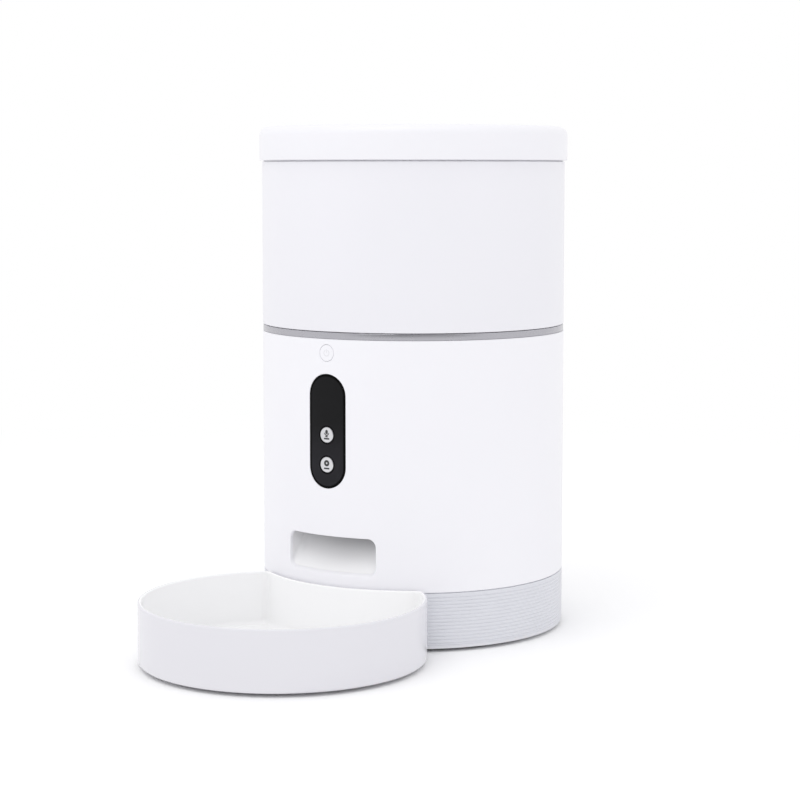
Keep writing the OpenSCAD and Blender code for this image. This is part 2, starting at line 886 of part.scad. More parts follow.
// Sloping food duct from the drum's exit window to the outlet
module chute() {
    slab = 0.2;
    over = 1;
    color(white_plastic) difference() {
        union() {
            intersection() {
                union() {
                    hull() {
                        chute_inlet(chute_wall, slab);
                        chute_mouth(chute_wall, mouth_y, slab);
                    }
                    chute_mouth(chute_wall, -body_r, body_r + mouth_y + slab);
                }
                upright(shell_in - fit, shell_z, drum_z);
            }
            both_sides([[chute_ear_x, chute_ear_y]]) upright(ear_r, drum_z - ear_t, drum_z);
        }
        hull() {
            translate([0, 0, over]) chute_inlet(0, slab + over);
            chute_mouth(0, mouth_y, slab);
        }
        chute_mouth(0, -body_r - 1, body_r + 1 + mouth_y + slab);
        translate([0, 0, box_z - slip]) linear_extrude(drum_z) gearbox_outline(box_wall + slip);
        both_sides([[chute_ear_x, chute_ear_y]]) {
            upright(screw_r + fit, drum_z - ear_t - 1, drum_z + 1);
        }
    }
}

// Slab at the top of the chute, grown by a margin
module chute_inlet(grow, slab) {
    centred_box(chute_top_w + 2 * grow, chute_front - grow, chute_back + grow, drum_z - slab, drum_z);
}

// Block with the outlet's outline, grown by a margin, from a depth on inwards
module chute_mouth(grow, y, depth) {
    r = outlet_corner + grow;
    w = outlet_w / 2 - outlet_corner;
    h = outlet_h / 2 - outlet_corner;
    hull() for (x = [-w, w], z = [-h, h]) translate([x, 0, 0]) {
        along_y(r, y, y + depth, outlet_z + outlet_h / 2 + z, $fn = 32);
    }
}

// Dispenser

// Wedge of a flat ring that points to the front
module front_wedge(r0, r1, half, z0, z1) {
    far = 2 * r1;
    intersection() {
        ring(r0, r1, z0, z1);
        translate([0, 0, z0]) linear_extrude(z1 - z0) polygon([
            [0, 0], [-far * sin(half), -far * cos(half)], [far * sin(half), -far * cos(half)]
        ]);
    }
}

// Deck across the body with the rotor drum, its exit window and the hopper's collar
module dispenser_deck() {
    flange_r = shell_in - slip;
    cup_out = cup_r + cup_wall;
    boss_r = bush_r + 4;
    notch_y = board_y + board_t + small_head_h + 1;
    color(inner_grey) difference() {
        rotate_extrude() polygon([
            [bush_r + fit / 3, boss_z], [boss_r, boss_z], [boss_r, drum_z], [cup_out, drum_z],
            [cup_out, deck_z], [flange_r, deck_z], [flange_r, deck_top], [collar_out, deck_top],
            [collar_out, deck_top + collar_h], [collar_in, deck_top + collar_h], [collar_in, deck_top],
            [cup_r, deck_top], [cup_r, drum_floor], [bush_r + fit / 3, drum_floor]
        ]);
        front_wedge(window_r, cup_r - 1, window_half, drum_z - 1, drum_floor + 1);
        centred_box(board_w + 2, -body_r, notch_y, deck_z - 1, deck_top + 1);
        around(4, post_pos, 45) upright(screw_r + fit, deck_z - 1, deck_top + 1);
        both_sides(concat(ear_spots, [[chute_ear_x, chute_ear_y]])) {
            upright(screw_r + running, drum_z - 1, drum_z + floor_t - 0.5);
        }
        translate([0, idler_y]) upright(pin_r + running, drum_z - 1, drum_z + 2);
    }
}

// Screws that hold the deck on the shell's columns
module deck_screws() {
    color(steel) around(4, post_pos, 45) translate([0, 0, deck_top]) rotate([180, 0, 0]) {
        screw(screw_r, screw_l, screw_head_r, screw_head_h);
    }
}

// Plate over the exit window that keeps food from running straight through
module flow_guard() {
    color(silicone_grey) {
        front_wedge(guard_in, collar_in - fit, guard_half, deck_top, deck_top + guard_t);
    }
}

// Flanged plain bearing of the rotor shaft
module shaft_bushing() {
    color(brass) rotate_extrude() {
        translate([shaft_r + running, boss_z]) square([bush_wall, drum_floor - boss_z]);
        translate([shaft_r + running, boss_z - bush_flange_t]) square([bush_wall + 2, bush_flange_t]);
    }
}

// Portioning wheel whose pockets carry the food round to the exit window
module rotor() {
    color(gear_cream) difference() {
        union() {
            upright(hub_r, rotor_z, rotor_top);
            for (i = [0 : vane_count - 1]) rotate((i + 0.5) * 360 / vane_count - 90) {
                translate([hub_r - 1, -vane_t / 2, rotor_z]) {
                    cube([rotor_r - hub_r + 1, vane_t, rotor_top - rotor_z]);
                }
            }
        }
        upright(shaft_r + running / 2, rotor_z - 1, rotor_top + 1);
    }
}

// Pointed cap on the rotor that stirs the food, plugged into the hub
module rotor_cap() {
    cap_top = rotor_top + 13;
    plug_l = 5;
    plug_r = shaft_r - running;
    rim_h = 2;
    tip_r = 3;
    fin_t = 2;
    fin_h = 10;
    fin_reach = hub_r + 0.5;
    color(white_plastic) {
        rotate_extrude() polygon([
            [0, rotor_top - plug_l], [plug_r, rotor_top - plug_l], [plug_r, rotor_top],
            [hub_r, rotor_top], [hub_r, rotor_top + rim_h], [tip_r, cap_top], [0, cap_top]
        ]);
        for (i = [0 : 2]) rotate(90 + i * 120) translate([0, -fin_t / 2, rotor_top]) {
            cube([fin_reach, fin_t, fin_h]);
        }
    }
}

// Steel shaft through the bushing, between the rotor and its gear
module rotor_shaft() {
    tail = 0.4;
    head_room = 5.5;
    color(steel) upright(shaft_r, upper_gear_z - tail, rotor_top - head_room);
}

// Large gear under the drum that turns the rotor
module rotor_gear() {
    color(gear_cream) difference() {
        spur_gear(gear_teeth, upper_gear_z, gear_t, 90);
        upright(shaft_r + running / 2, upper_gear_z - 1, upper_gear_top + 1);
        around(6, gear_tip_r * 0.55, 0) upright(3.2, upper_gear_z - 1, upper_gear_top + 1);
    }
}

// Outline of the gearbox, grown by a margin
module gearbox_outline(grow) {
    for (y = [0, idler_y]) translate([0, y]) circle(r = box_in_r + grow);
    translate([-box_neck - grow, 0]) square([2 * (box_neck + grow), idler_y]);
    translate([0, motor_y]) circle(r = motor_room + grow);
    translate([1 - motor_room - grow, idler_y]) square([2 * (motor_room + grow - 1), axle_gap]);
}

// Tray under the drum that encloses the gears and carries the motor
module gearbox_housing() {
    pin_boss_r = pin_r + 2.4;
    color(inner_grey) difference() {
        union() {
            difference() {
                translate([0, 0, box_z]) linear_extrude(drum_z - box_z) gearbox_outline(box_wall);
                translate([0, 0, box_floor]) linear_extrude(drum_z) gearbox_outline(0);
            }
            difference() {
                both_sides(ear_spots) upright(ear_r, drum_z - ear_t, drum_z);
                translate([0, 0, box_floor]) linear_extrude(drum_z) gearbox_outline(box_wall / 2);
            }
            translate([0, idler_y]) upright(pin_boss_r, box_floor - 0.5, lower_gear_z - slip);
        }
        both_sides(ear_spots) upright(screw_r + fit, drum_z - ear_t - 1, drum_z + 1);
        translate([0, idler_y]) upright(pin_r + running / 2, box_z - 1, lower_gear_z + 1);
        translate([0, motor_y]) upright(motor_nose_r + fit, box_z - 1, box_floor + 1);
        both_sides([[motor_screw_x, motor_y]]) upright(small_screw_r + fit, box_z - 1, box_floor + 1);
    }
}

// Screws of the gearbox and of the chute, driven up into the deck
module mechanism_screws() {
    length = ear_t + floor_t - 1;
    color(steel) both_sides(concat(ear_spots, [[chute_ear_x, chute_ear_y]])) {
        translate([0, 0, drum_z - ear_t]) screw(screw_r, length, screw_head_r, screw_head_h);
    }
}

// Compound idler: a large gear under a pinion
module idler_gear() {
    hub = tooth_module * pinion_teeth / 2 - 1.2 * tooth_module;
    color(gear_cream) translate([0, idler_y]) difference() {
        union() {
            spur_gear(gear_teeth, lower_gear_z, gear_t, 90);
            upright(hub, lower_gear_top - 0.5, upper_gear_z + 0.5);
            spur_gear(pinion_teeth, upper_gear_z, gear_t, 270 + 180 / pinion_teeth);
        }
        upright(pin_r + running, lower_gear_z - 1, upper_gear_top + 1);
        around(6, gear_tip_r * 0.6, 0) upright(3, lower_gear_z - 1, lower_gear_top + 1);
    }
}

// Fixed steel pin of the idler, from the gearbox floor into the deck
module idler_pin() {
    seat = 1.6;
    color(steel) translate([0, idler_y]) upright(pin_r, box_z, drum_z + seat);
}

// Geared motor that hangs below the gearbox
module gear_motor() {
    head_l = 19;
    can_r = motor_r - 0.4;
    end_l = 3;
    low = box_z - motor_l;
    color(dark_metal) translate([0, motor_y]) difference() {
        union() {
            upright(motor_r, box_z - head_l, box_z);
            upright(can_r, low + end_l, box_z - head_l + 0.5);
            upright(can_r - 2, low, low + end_l + 0.5);
            upright(motor_nose_r, box_z - 0.5, box_floor);
            for (x = [-6, 6]) translate([x, 0, low - 4]) centred_box(0.6, -1.5, 1.5, 0, 4.5);
        }
        upright(pin_r + running, box_z - head_l / 2, box_floor + 1);
        both_sides([[motor_screw_x, 0]]) {
            upright(small_screw_r + running, box_z - small_screw_l, box_z + 1);
        }
    }
}

// Output shaft of the geared motor
module motor_shaft() {
    inside = 9;
    tip = 0.6;
    color(steel) translate([0, motor_y]) upright(pin_r, box_z - inside, lower_gear_top + tip);
}

// Pinion on the motor shaft that drives the idler
module motor_pinion() {
    color(brass) translate([0, motor_y]) difference() {
        spur_gear(pinion_teeth, lower_gear_z, gear_t, 270 + 180 / pinion_teeth);
        upright(pin_r + running / 2, lower_gear_z - 1, lower_gear_top + 1);
    }
}

// Screws that hold the motor to the gearbox floor
module motor_screws() {
    color(steel) both_sides([[motor_screw_x, motor_y]]) {
        translate([0, 0, box_floor]) rotate([180, 0, 0]) {
            screw(small_screw_r, small_screw_l, small_head_r, small_head_h);
        }
    }
}

// Hopper and lid

// Food hopper: a round wall with a neck for the lid and a spigot that enters the body
module hopper() {
    slope_h = 4;
    neck_root = hopper_top - 4;
    color(white_plastic) rotate_extrude() polygon([
        [hopper_spigot_in, hopper_z - hopper_spigot_h], [hopper_spigot_out, hopper_z - hopper_spigot_h],
        [hopper_spigot_out, hopper_z], [body_r, hopper_z], [body_r, hopper_top],
        [neck_out, hopper_top], [neck_out, neck_top], [neck_in, neck_top], [neck_in, neck_root],
        [shell_in, neck_root - slope_h], [shell_in, ledge_top], [hopper_spigot_in, ledge_top]
    ]);
}

// Funnel on the hopper's ledge that leads the food to the drum
module hopper_funnel() {
    flange_t = 2.2;
    flange_r = shell_in - fit;
    cone_top = cone_z + (cone_r - throat_out) * tan(funnel_slope);
    throat_top = cone_z + cone_rise - wall * tan(funnel_slope);
    rim_r = throat_in + (ledge_top + flange_t - throat_top) / tan(funnel_slope);
    color(white_plastic) rotate_extrude() polygon([
        [throat_in, throat_z], [throat_out, throat_z], [throat_out, cone_z], [cone_r, cone_top],
        [cone_r, ledge_top], [flange_r, ledge_top], [flange_r, ledge_top + flange_t],
        [rim_r, ledge_top + flange_t], [throat_in, throat_top]
    ]);
}

// Hollow lid with a rounded top edge
module lid() {
    boss_r = 4;
    color(white_plastic) {
        rotate_extrude() difference() {
            rounded_cap(lid_r, lid_z, lid_top, lid_round);
            rounded_cap(lid_r - wall, lid_z - 1, lid_top - wall, lid_round - wall);
        }
        around(4, lid_r * 0.6, 45) upright(boss_r, liner_z + liner_t, lid_top - wall + 0.5);
    }
}

// Inner plate of the lid with the plug ring and the desiccant pocket
module lid_liner() {
    roof = 1.6;
    pocket_top = liner_z + liner_t + pocket_h;
    outer = lid_r - wall - fit;
    color(white_plastic) rotate_extrude() polygon([
        [pocket_r, liner_z], [plug_out - plug_t, liner_z], [plug_out - plug_t, liner_z - plug_h],
        [plug_out, liner_z - plug_h], [plug_out, liner_z], [outer, liner_z], [outer, liner_z + liner_t],
        [pocket_r + wall, liner_z + liner_t], [pocket_r + wall, pocket_top], [0, pocket_top],
        [0, pocket_top - roof], [pocket_r, pocket_top - roof]
    ]);
}

// Soft gasket round the lid's plug ring, over the hopper's neck
module lid_seal() {
    lip = 0.7;
    inner = plug_out + running;
    outer = neck_out - slip;
    color(silicone_grey) rotate_extrude() polygon([
        [inner, seal_z + lip], [inner + lip, seal_z], [outer - lip, seal_z], [outer, seal_z + lip],
        [outer, liner_z], [inner, liner_z]
    ]);
}

// Slotted twist cap that closes the desiccant pocket
module desiccant_cap() {
    skirt_out = pocket_r - 1.4 * slip;
    skirt_h = 6;
    slot_w = 3;
    slot_count = 12;
    grip_w = 5;
    grip_h = 4;
    color(silicone_grey) difference() {
        union() {
            upright(cap_r, cap_z, cap_z + cap_t);
            ring(skirt_out - wall, skirt_out, cap_z + cap_t - 0.5, cap_z + cap_t + skirt_h);
            centred_box(2 * cap_r - 12, -grip_w / 2, grip_w / 2, cap_z - grip_h, cap_z + 0.5);
        }
        for (i = [0 : slot_count - 1]) rotate((i + 0.5) * 360 / slot_count) {
            translate([cap_r * 0.4, -slot_w / 2, cap_z - 1]) cube([cap_r * 0.36, slot_w, cap_t + 2]);
        }
    }
}

// Bowl

// Outline of the bowl, drawn in by a margin: round in front, hollow where the body
// stands, with a rounded corner on each side
module bowl_outline(inset) {
    front = [corner_x, corner_y + bowl_reach] * 3 * bowl_corner / corner_near;
    back = [-corner_x, -corner_y] * 3 * bowl_corner / corner_far;
    difference() {
        translate([0, -bowl_reach]) circle(r = bowl_r - inset);
        circle(r = bowl_back + inset);
        for (side = [0, 1]) mirror([side, 0]) translate([corner_x, corner_y]) {
            polygon([[0, 0], front, front + back, back]);
        }
    }
    for (side = [-1, 1]) translate([side * corner_x, corner_y]) circle(r = bowl_corner - inset);
}

// Dish with a filleted inside and a back wall that follows the body
module bowl() {
    inner = bowl_r - bowl_wall;
    floor_z = bowl_foot_h + bowl_floor;
    color(white_plastic) difference() {
        translate([0, 0, bowl_foot_h]) linear_extrude(bowl_h) bowl_outline(0);
        difference() {
            translate([0, 0, floor_z]) linear_extrude(bowl_h) bowl_outline(bowl_wall);
            translate([0, -bowl_reach]) rotate_extrude() difference() {
                translate([inner - bowl_fillet, floor_z - 1]) square([2 * bowl_fillet, bowl_fillet + 1]);
                translate([inner - bowl_fillet, floor_z + bowl_fillet]) circle(r = bowl_fillet);
            }
        }
        translate([0, -bowl_reach]) rotate_extrude() polygon([
            [bowl_r - bowl_edge - 1, bowl_foot_h - 1], [bowl_r + 1, bowl_foot_h - 1],
            [bowl_r + 1, bowl_foot_h + bowl_edge + 1]
        ]);
        bowl_foot_places() upright(bowl_foot_r + fit, 0, bowl_foot_h + bowl_foot_seat);
    }
}

// Places of the bowl's feet
module bowl_foot_places() {
    translate([0, -bowl_reach]) for (a = bowl_foot_angles) {
        rotate(a) translate([bowl_foot_ring, 0]) children();
    }
}

// Four rubber pads under the bowl
module bowl_feet() {
    color(rubber_grey) bowl_foot_places() upright(bowl_foot_r, 0, bowl_foot_h + bowl_foot_seat);
}

foot_ring();
base_plate();
base_ring();
base_screws();
battery_tray();
battery_contacts();
battery_door();
speaker();
main_board();
board_screws();
power_inlet();
body_shell();
trim_ring();
control_panel();
record_button();
play_button();
power_button();
front_board();
button_switches();
camera_module();
camera_lens();
chute();
dispenser_deck();
deck_screws();
flow_guard();
shaft_bushing();
rotor();
rotor_cap();
rotor_shaft();
rotor_gear();
gearbox_housing();
mechanism_screws();
idler_gear();
idler_pin();
gear_motor();
motor_shaft();
motor_pinion();
motor_screws();
hopper();
hopper_funnel();
lid();
lid_liner();
lid_seal();
desiccant_cap();
bowl();
bowl_feet();
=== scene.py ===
from math import asin, atan2, cos, pi, radians, sin, sqrt

import bmesh
import bpy
from mathutils import Matrix, Vector


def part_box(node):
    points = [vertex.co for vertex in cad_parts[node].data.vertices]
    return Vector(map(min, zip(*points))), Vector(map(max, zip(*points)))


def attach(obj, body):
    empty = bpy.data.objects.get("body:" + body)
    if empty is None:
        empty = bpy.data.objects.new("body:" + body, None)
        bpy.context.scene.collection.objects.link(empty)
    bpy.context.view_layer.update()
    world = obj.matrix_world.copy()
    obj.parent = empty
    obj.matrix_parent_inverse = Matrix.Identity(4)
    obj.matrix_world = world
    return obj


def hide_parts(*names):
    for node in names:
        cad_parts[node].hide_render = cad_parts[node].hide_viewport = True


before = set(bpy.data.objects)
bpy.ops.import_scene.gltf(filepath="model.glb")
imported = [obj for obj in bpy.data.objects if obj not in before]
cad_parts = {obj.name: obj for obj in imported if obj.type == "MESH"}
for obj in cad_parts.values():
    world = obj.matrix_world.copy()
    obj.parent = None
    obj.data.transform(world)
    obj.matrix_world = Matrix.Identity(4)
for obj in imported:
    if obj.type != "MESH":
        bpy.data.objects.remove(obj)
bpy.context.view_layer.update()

# Foot ring: the soft band that keeps the feeder from sliding.
# Moulded from grey rubber with three grip grooves, and glued into a groove of the base plate.
mm = 0.001
tiny = 0.001 * mm
close = 0.01 * mm


def clear_selection():
    if bpy.context.mode != "OBJECT":
        bpy.ops.object.mode_set(mode="OBJECT")
    bpy.ops.object.select_all(action="DESELECT")


def pick(piece):
    clear_selection()
    piece.select_set(True)
    bpy.context.view_layer.objects.active = piece


def edit(piece):
    pick(piece)
    bpy.ops.object.mode_set(mode="EDIT")


def select_all():
    bpy.ops.mesh.select_all(action="SELECT")


def select_items(piece, kind, chosen):
    """Selects the points, edges or faces that pass a test."""
    bpy.ops.mesh.select_mode(type=kind)
    bpy.ops.mesh.select_all(action="DESELECT")
    mesh = bmesh.from_edit_mesh(piece.data)
    for item in {"VERT": mesh.verts, "EDGE": mesh.edges, "FACE": mesh.faces}[kind]:
        item.select_set(chosen(item))
    mesh.select_flush_mode()
    bmesh.update_edit_mesh(piece.data)


def select_where(piece, kind, test, sharp=None):
    """Selects what has all its corners where the test says, and edges also by their angle."""
    def chosen(item):
        corners = [item] if kind == "VERT" else item.verts
        within = all(test(corner.co) for corner in corners)
        return within and (sharp is None or item.calc_face_angle(0) > sharp)

    select_items(piece, kind, chosen)


def bevel(radius, segments, affect="EDGES"):
    bpy.ops.mesh.bevel(offset=radius, affect=affect, segments=segments)


def close_mesh():
    """Merges doubled points of the piece in edit mode, turns its faces outwards and leaves edit mode."""
    select_all()
    bpy.ops.mesh.remove_doubles(threshold=tiny)
    bpy.ops.mesh.normals_make_consistent(inside=False)
    bpy.ops.object.mode_set(mode="OBJECT")


def created(name, operator, **settings):
    """Runs an operator that adds an object, with nothing else selected, and names the object."""
    clear_selection()
    operator(**settings)
    piece = bpy.context.object
    piece.name = name
    return piece


def shift(move):
    bpy.ops.transform.translate(value=move)


def start_point(name, place):
    """A new piece in edit mode that holds one selected point."""
    piece = created(name, bpy.ops.mesh.primitive_plane_add, size=mm)
    edit(piece)
    bpy.ops.mesh.select_mode(type="VERT")
    select_all()
    bpy.ops.mesh.merge(type="CENTER")
    shift(place)
    return piece


def extrude(kind, move):
    """Draws out the selected vertices, edges or region."""
    getattr(bpy.ops.mesh, f"extrude_{kind}_move")(TRANSFORM_OT_translate={"value": move})


def turned(name, outline, rounds=None, steps=192):
    """Draws a profile of (radius, height) points, rounds its corners and spins it about the axis."""
    def at_points(*points):
        return lambda co: any(abs(co.x - r) + abs(co.z - z) < tiny for r, z in points)

    piece = start_point(name, (outline[0][0], 0, outline[0][1]))
    for (r0, z0), (r1, z1) in zip(outline, outline[1:]):
        extrude("vertices", (r1 - r0, 0, z1 - z0))
    if outline[0][0] > 0:
        select_where(piece, "VERT", at_points(outline[0], outline[-1]))
        bpy.ops.mesh.edge_face_add()
    for index, radius in (rounds or {}).items():
        select_where(piece, "VERT", at_points(outline[index]))
        bevel(radius, max(3, min(12, round(2 * radius / mm))), "VERTICES")
    select_all()
    bpy.ops.mesh.spin(steps=steps, angle=2 * pi, center=(0, 0, 0), axis=(0, 0, 1))
    close_mesh()
    return piece


def feed(tree, node, inputs):
    """Sets inputs of a node, or links those whose value comes out of another node."""
    for label, value in inputs.items():
        if isinstance(value, bpy.types.NodeSocket):
            tree.links.new(value, node.inputs[label])
        else:
            node.inputs[label].default_value = value


def add_node(tree, kind, inputs=None, **settings):
    made = tree.nodes.new(kind)
    for key, value in settings.items():
        setattr(made, key, value)
    feed(tree, made, inputs or {})
    return made


def blend(tree, mask, first, second):
    """Mixes two colours by a mask."""
    mix = add_node(tree, "ShaderNodeMix", {0: mask, 6: first, 7: second}, data_type="RGBA")
    return mix.outputs[2]


def build_grain():
    """Node group: soft patches and a fine grain, both from 0 to 1, fixed to the piece."""
    group = bpy.data.node_groups.new("moulded_grain", "ShaderNodeTree")
    for label in ("Patches", "Grain"):
        group.interface.new_socket(f"{label} scale", in_out="INPUT", socket_type="NodeSocketFloat")
        group.interface.new_socket(label, in_out="OUTPUT", socket_type="NodeSocketFloat")
    entry = add_node(group, "NodeGroupInput")
    place = add_node(group, "ShaderNodeTexCoord")
    leave = add_node(group, "NodeGroupOutput")
    for i, detail in enumerate((4.0, 2.0)):
        noise = add_node(group, "ShaderNodeTexNoise", {
            "Vector": place.outputs["Object"], "Scale": entry.outputs[i], "Detail": detail})
        feed(group, leave, {i: noise.outputs[0]})
    return group


grain_group = build_grain()


def grained(name, tones, rough, bump, patches, grains, sockets=None):
    """Finish with two near tones in soft patches, a roughness that follows them and a fine raised grain.

    Patches and grains are counted per metre, and sockets are further values of the shader.
    """
    material = bpy.data.materials.new(name)
    material.use_nodes = True
    tree = material.node_tree
    grain = add_node(tree, "ShaderNodeGroup", {0: patches, 1: grains}, node_tree=grain_group)
    patch = grain.outputs["Patches"]
    spread = add_node(tree, "ShaderNodeMapRange", {
        "Value": patch, "From Min": 0.3, "From Max": 0.7, "To Min": rough[0], "To Max": rough[1]})
    raised = add_node(tree, "ShaderNodeBump", {
        "Strength": bump, "Distance": 0.05 * mm, "Height": grain.outputs["Grain"]})
    feed(tree, tree.nodes["Principled BSDF"], {
        "Base Color": blend(tree, patch, (*tones[0], 1), (*tones[1], 1)),
        "Roughness": spread.outputs["Result"], "Normal": raised.outputs["Normal"], **(sockets or {})})
    return material


def smooth(piece, angle=30):
    """Smooth shading, apart from edges that are sharper than an angle in degrees."""
    pick(piece)
    bpy.ops.object.shade_smooth_by_angle(angle=radians(angle))


def settle(piece, body, slot, material, *nodes):
    """Gives a piece its finish, ties it to its body and hides the nodes that it stands for."""
    smooth(piece)
    piece.data.materials.clear()
    piece.data.materials.append(material)
    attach(piece, body)
    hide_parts(*nodes)


rubber = grained("foot_rubber", ((0.055, 0.055, 0.058), (0.075, 0.074, 0.078)), (0.72, 0.85), 0.5, 60, 2600,
                 {"Specular IOR Level": 0.3})
foot_low, foot_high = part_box("foot_ring")
foot_w = 10 * mm
foot_out = foot_high.x
foot_in = foot_out - foot_w
foot_round = 0.6 * mm
groove_depth = 0.5 * mm
foot_outline = [(foot_in, foot_high.z), (foot_in, foot_low.z)]
for k in (1, 2, 3):
    middle = foot_in + k * foot_w / 4
    for side, depth in ((-0.5, 0), (-0.25, groove_depth), (0.25, groove_depth), (0.5, 0)):
        foot_outline.append((middle + side * mm, foot_low.z + depth))
foot_outline += [(foot_out, foot_low.z), (foot_out, foot_high.z)]
foot_ring = turned("foot_ring_rubber", foot_outline, {1: foot_round, len(foot_outline) - 2: foot_round})
settle(foot_ring, "base", "rubber_grey", rubber, "foot_ring")

# Base plate: the bottom cover that the other base pieces stand on.
# Injection moulded in silver-coloured plastic, with four hollow screw posts, a grille for the speaker
# and an opening for the battery door.


def stepped(*values):
    """Profile of level and upright lines, given as radii and heights by turns."""
    return [(values[i + i % 2], values[i + 1 - i % 2]) for i in range(len(values) - 1)]


def modify(piece, kind, **settings):
    """Adds a modifier with its settings and applies it."""
    pick(piece)
    step = piece.modifiers.new(kind, kind)
    for key, value in settings.items():
        setattr(step, key, value)
    bpy.ops.object.modifier_apply(modifier=step.name)


def combine(piece, tool, operation):
    """Cuts away, adds or keeps the shape of a tool, which is then thrown away."""
    modify(piece, "BOOLEAN", operation=operation, object=tool, solver="EXACT")
    bpy.data.objects.remove(tool)


def cut(piece, tool):
    combine(piece, tool, "DIFFERENCE")


def add(piece, tool):
    combine(piece, tool, "UNION")


def block(name, low, high):
    """Rectangular bar between two corners."""
    piece = created(name, bpy.ops.mesh.primitive_cube_add, size=1,
                    location=[(a + b) / 2 for a, b in zip(low, high)])
    piece.scale = [b - a for a, b in zip(low, high)]
    bpy.ops.object.transform_apply()
    return piece


def peg(name, radius, low, high, sides=48):
    """Round bar on the axis between two heights."""
    piece = created(name, bpy.ops.mesh.primitive_cylinder_add, vertices=sides, radius=radius,
                    depth=high - low, location=(0, 0, (low + high) / 2))
    bpy.ops.object.transform_apply()
    return piece


def at(x, y, z=0):
    return Matrix.Translation((x, y, z))


def placed(piece, place):
    """Moves a piece's mesh, while its object stays at the origin."""
    piece.data.transform(place)
    return piece


def joined(pieces):
    """Joins pieces into the first one."""
    pick(pieces[0])
    for piece in pieces:
        piece.select_set(True)
    if len(pieces) > 1:
        bpy.ops.object.join()
    return pieces[0]


def copied(piece, places, name="copies"):
    """Copies a piece to each place and joins the copies into one piece, which takes the first one's place."""
    made = []
    for place in places:
        twin = bpy.data.objects.new(name, piece.data.copy())
        bpy.context.scene.collection.objects.link(twin)
        made.append(placed(twin, place))
    bpy.data.objects.remove(piece)
    return joined(made)


def spots(count, radius, start=0.0, centre_y=0.0):
    """Places on a circle about an upright axis."""
    angles = [start + i * 2 * pi / count for i in range(count)]
    return [at(radius * cos(a), centre_y + radius * sin(a)) for a in angles]


def centre_of(node):
    """Middle of a node's box."""
    low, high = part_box(node)
    return (low + high) / 2


# This silver is lighter than the ribbed ring's, partly its own tone and partly painted highlight for the
# light line along the plate's rounded rim.
silver_plastic = grained(
    "silver_moulding", ((0.755, 0.76, 0.80), (0.80, 0.805, 0.84)), (0.42, 0.52), 0.25, 30, 2200,
    {"Specular IOR Level": 0.45})
fit = 0.15 * mm
slip = 0.3 * mm
plate_low, plate_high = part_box("base_plate")
ring_low, ring_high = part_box("base_ring")
body_r = ring_high.x
plate_z = plate_low.z
plate_top = ring_low.z
post_top = plate_high.z
groove_in = foot_in - fit
groove_out = foot_out + fit
rim_out = body_r - 2.95 * mm
rim_in = rim_out - 2.4 * mm
rim_top = plate_top + 4 * mm
base_plate = turned("base_plate_moulding", stepped(
    0, plate_z, groove_in, foot_high.z, groove_out, plate_z, plate_high.x, plate_top, rim_out, rim_top,
    rim_in, plate_top, 0,
), {5: 0.9 * mm, 6: 0.25 * mm})
post_r = 5 * mm
post_reach = body_r - 11 * mm
post_places = spots(4, post_reach, radians(45))
add(base_plate, copied(peg("posts", post_r, plate_top - mm, post_top), post_places))
screw_seat = post_top - 6 * mm
screw_hole_r = 1.65 * mm
well_r = 3.1 * mm
well = turned("well", stepped(
    0, plate_z - mm, well_r, screw_seat, screw_hole_r, post_top + mm, 0), steps=48)
cut(base_plate, copied(well, post_places))
door_w = 107.4 * mm
door_l = 73.5 * mm
notch_r = 6 * mm
notch_depth = 1.25 * mm
cut(base_plate, block(
    "opening", (-door_w / 2, -door_l / 2, plate_z - mm), (door_w / 2, door_l / 2, plate_top + mm)))
cut(base_plate, placed(peg("notch", notch_r, plate_z - mm, plate_z + notch_depth), at(0, -door_l / 2)))
speaker_y = centre_of("speaker").y
grille_r = 1.5 * mm
grille_pitch = 6 * mm
grille_spots = []
for row, count in enumerate((1, 6, 12)):
    grille_spots += spots(count, row * grille_pitch, 0, speaker_y)
cut(base_plate, copied(peg("grille", grille_r, plate_z - mm, plate_top + mm, 24), grille_spots))
door_low, door_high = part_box("battery_door")
hinge_r = 1.1 * mm
hinge_y = door_high.y - hinge_r
hinge_z = door_low.z + hinge_r
pin_r = 0.7 * mm
pin_gap = 0.2 * mm
lay_down = at(0, hinge_y, hinge_z) @ Matrix.Rotation(pi / 2, 4, "Y")
bores = peg("bores", pin_r + fit, door_low.x - pin_gap, door_high.x + pin_gap, 24)
cut(base_plate, placed(bores, lay_down))
settle(base_plate, "base", "silver_plastic", silver_plastic, "base_plate")

# Base ring: the silver band with fine horizontal ribs under the white body.
# Turned-looking plastic moulding with rounded ribs, a spigot that enters the body and a slot at the
# back for the power inlet.
silver_paint = grained(
    "silver_ribs", ((0.712, 0.720, 0.767), (0.767, 0.774, 0.817)), (0.34, 0.44), 0.3, 40, 3800)
rib_pitch = 2.46 * mm
rib_depth = 0.42 * mm
rib_half = 0.62 * mm
rib_points = 4
shell_low, shell_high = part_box("body_shell")
ring_in = body_r - 2.8 * mm
ledge_r = body_r - 1.2 * mm
ring_top = shell_low.z - 0.6 * mm
spigot_out = body_r - 2.55 * mm
spigot_in = spigot_out - 2.4 * mm
spigot_top = ring_high.z
rib_count = int((ring_top - ring_low.z - rib_pitch) / rib_pitch) + 1
ring_outline = [(ring_in, ring_low.z), (body_r, ring_low.z)]
for i in range(rib_count):
    middle = ring_low.z + (i + 0.5) * rib_pitch
    for k in range(-rib_points, rib_points + 1):
        share = k / rib_points
        dip = rib_depth * (1 + cos(pi * share)) / 2
        ring_outline.append((body_r - dip, middle + share * rib_half))
ring_outline += stepped(
    body_r, ring_top, ledge_r, shell_low.z, spigot_out, spigot_top, spigot_in, ring_top - 4 * mm)
ring_outline.append((ring_in, ring_top - 6.4 * mm))
last = len(ring_outline)
base_ring = turned("base_ring_ribbed", ring_outline, {
    1: 0.3 * mm, last - 8: 0.35 * mm, last - 4: 0.5 * mm, last - 3: 0.5 * mm,
}, steps=224)
inlet_low, inlet_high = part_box("power_inlet")
inlet_z = centre_of("power_inlet").z
slot_w = 16 * mm
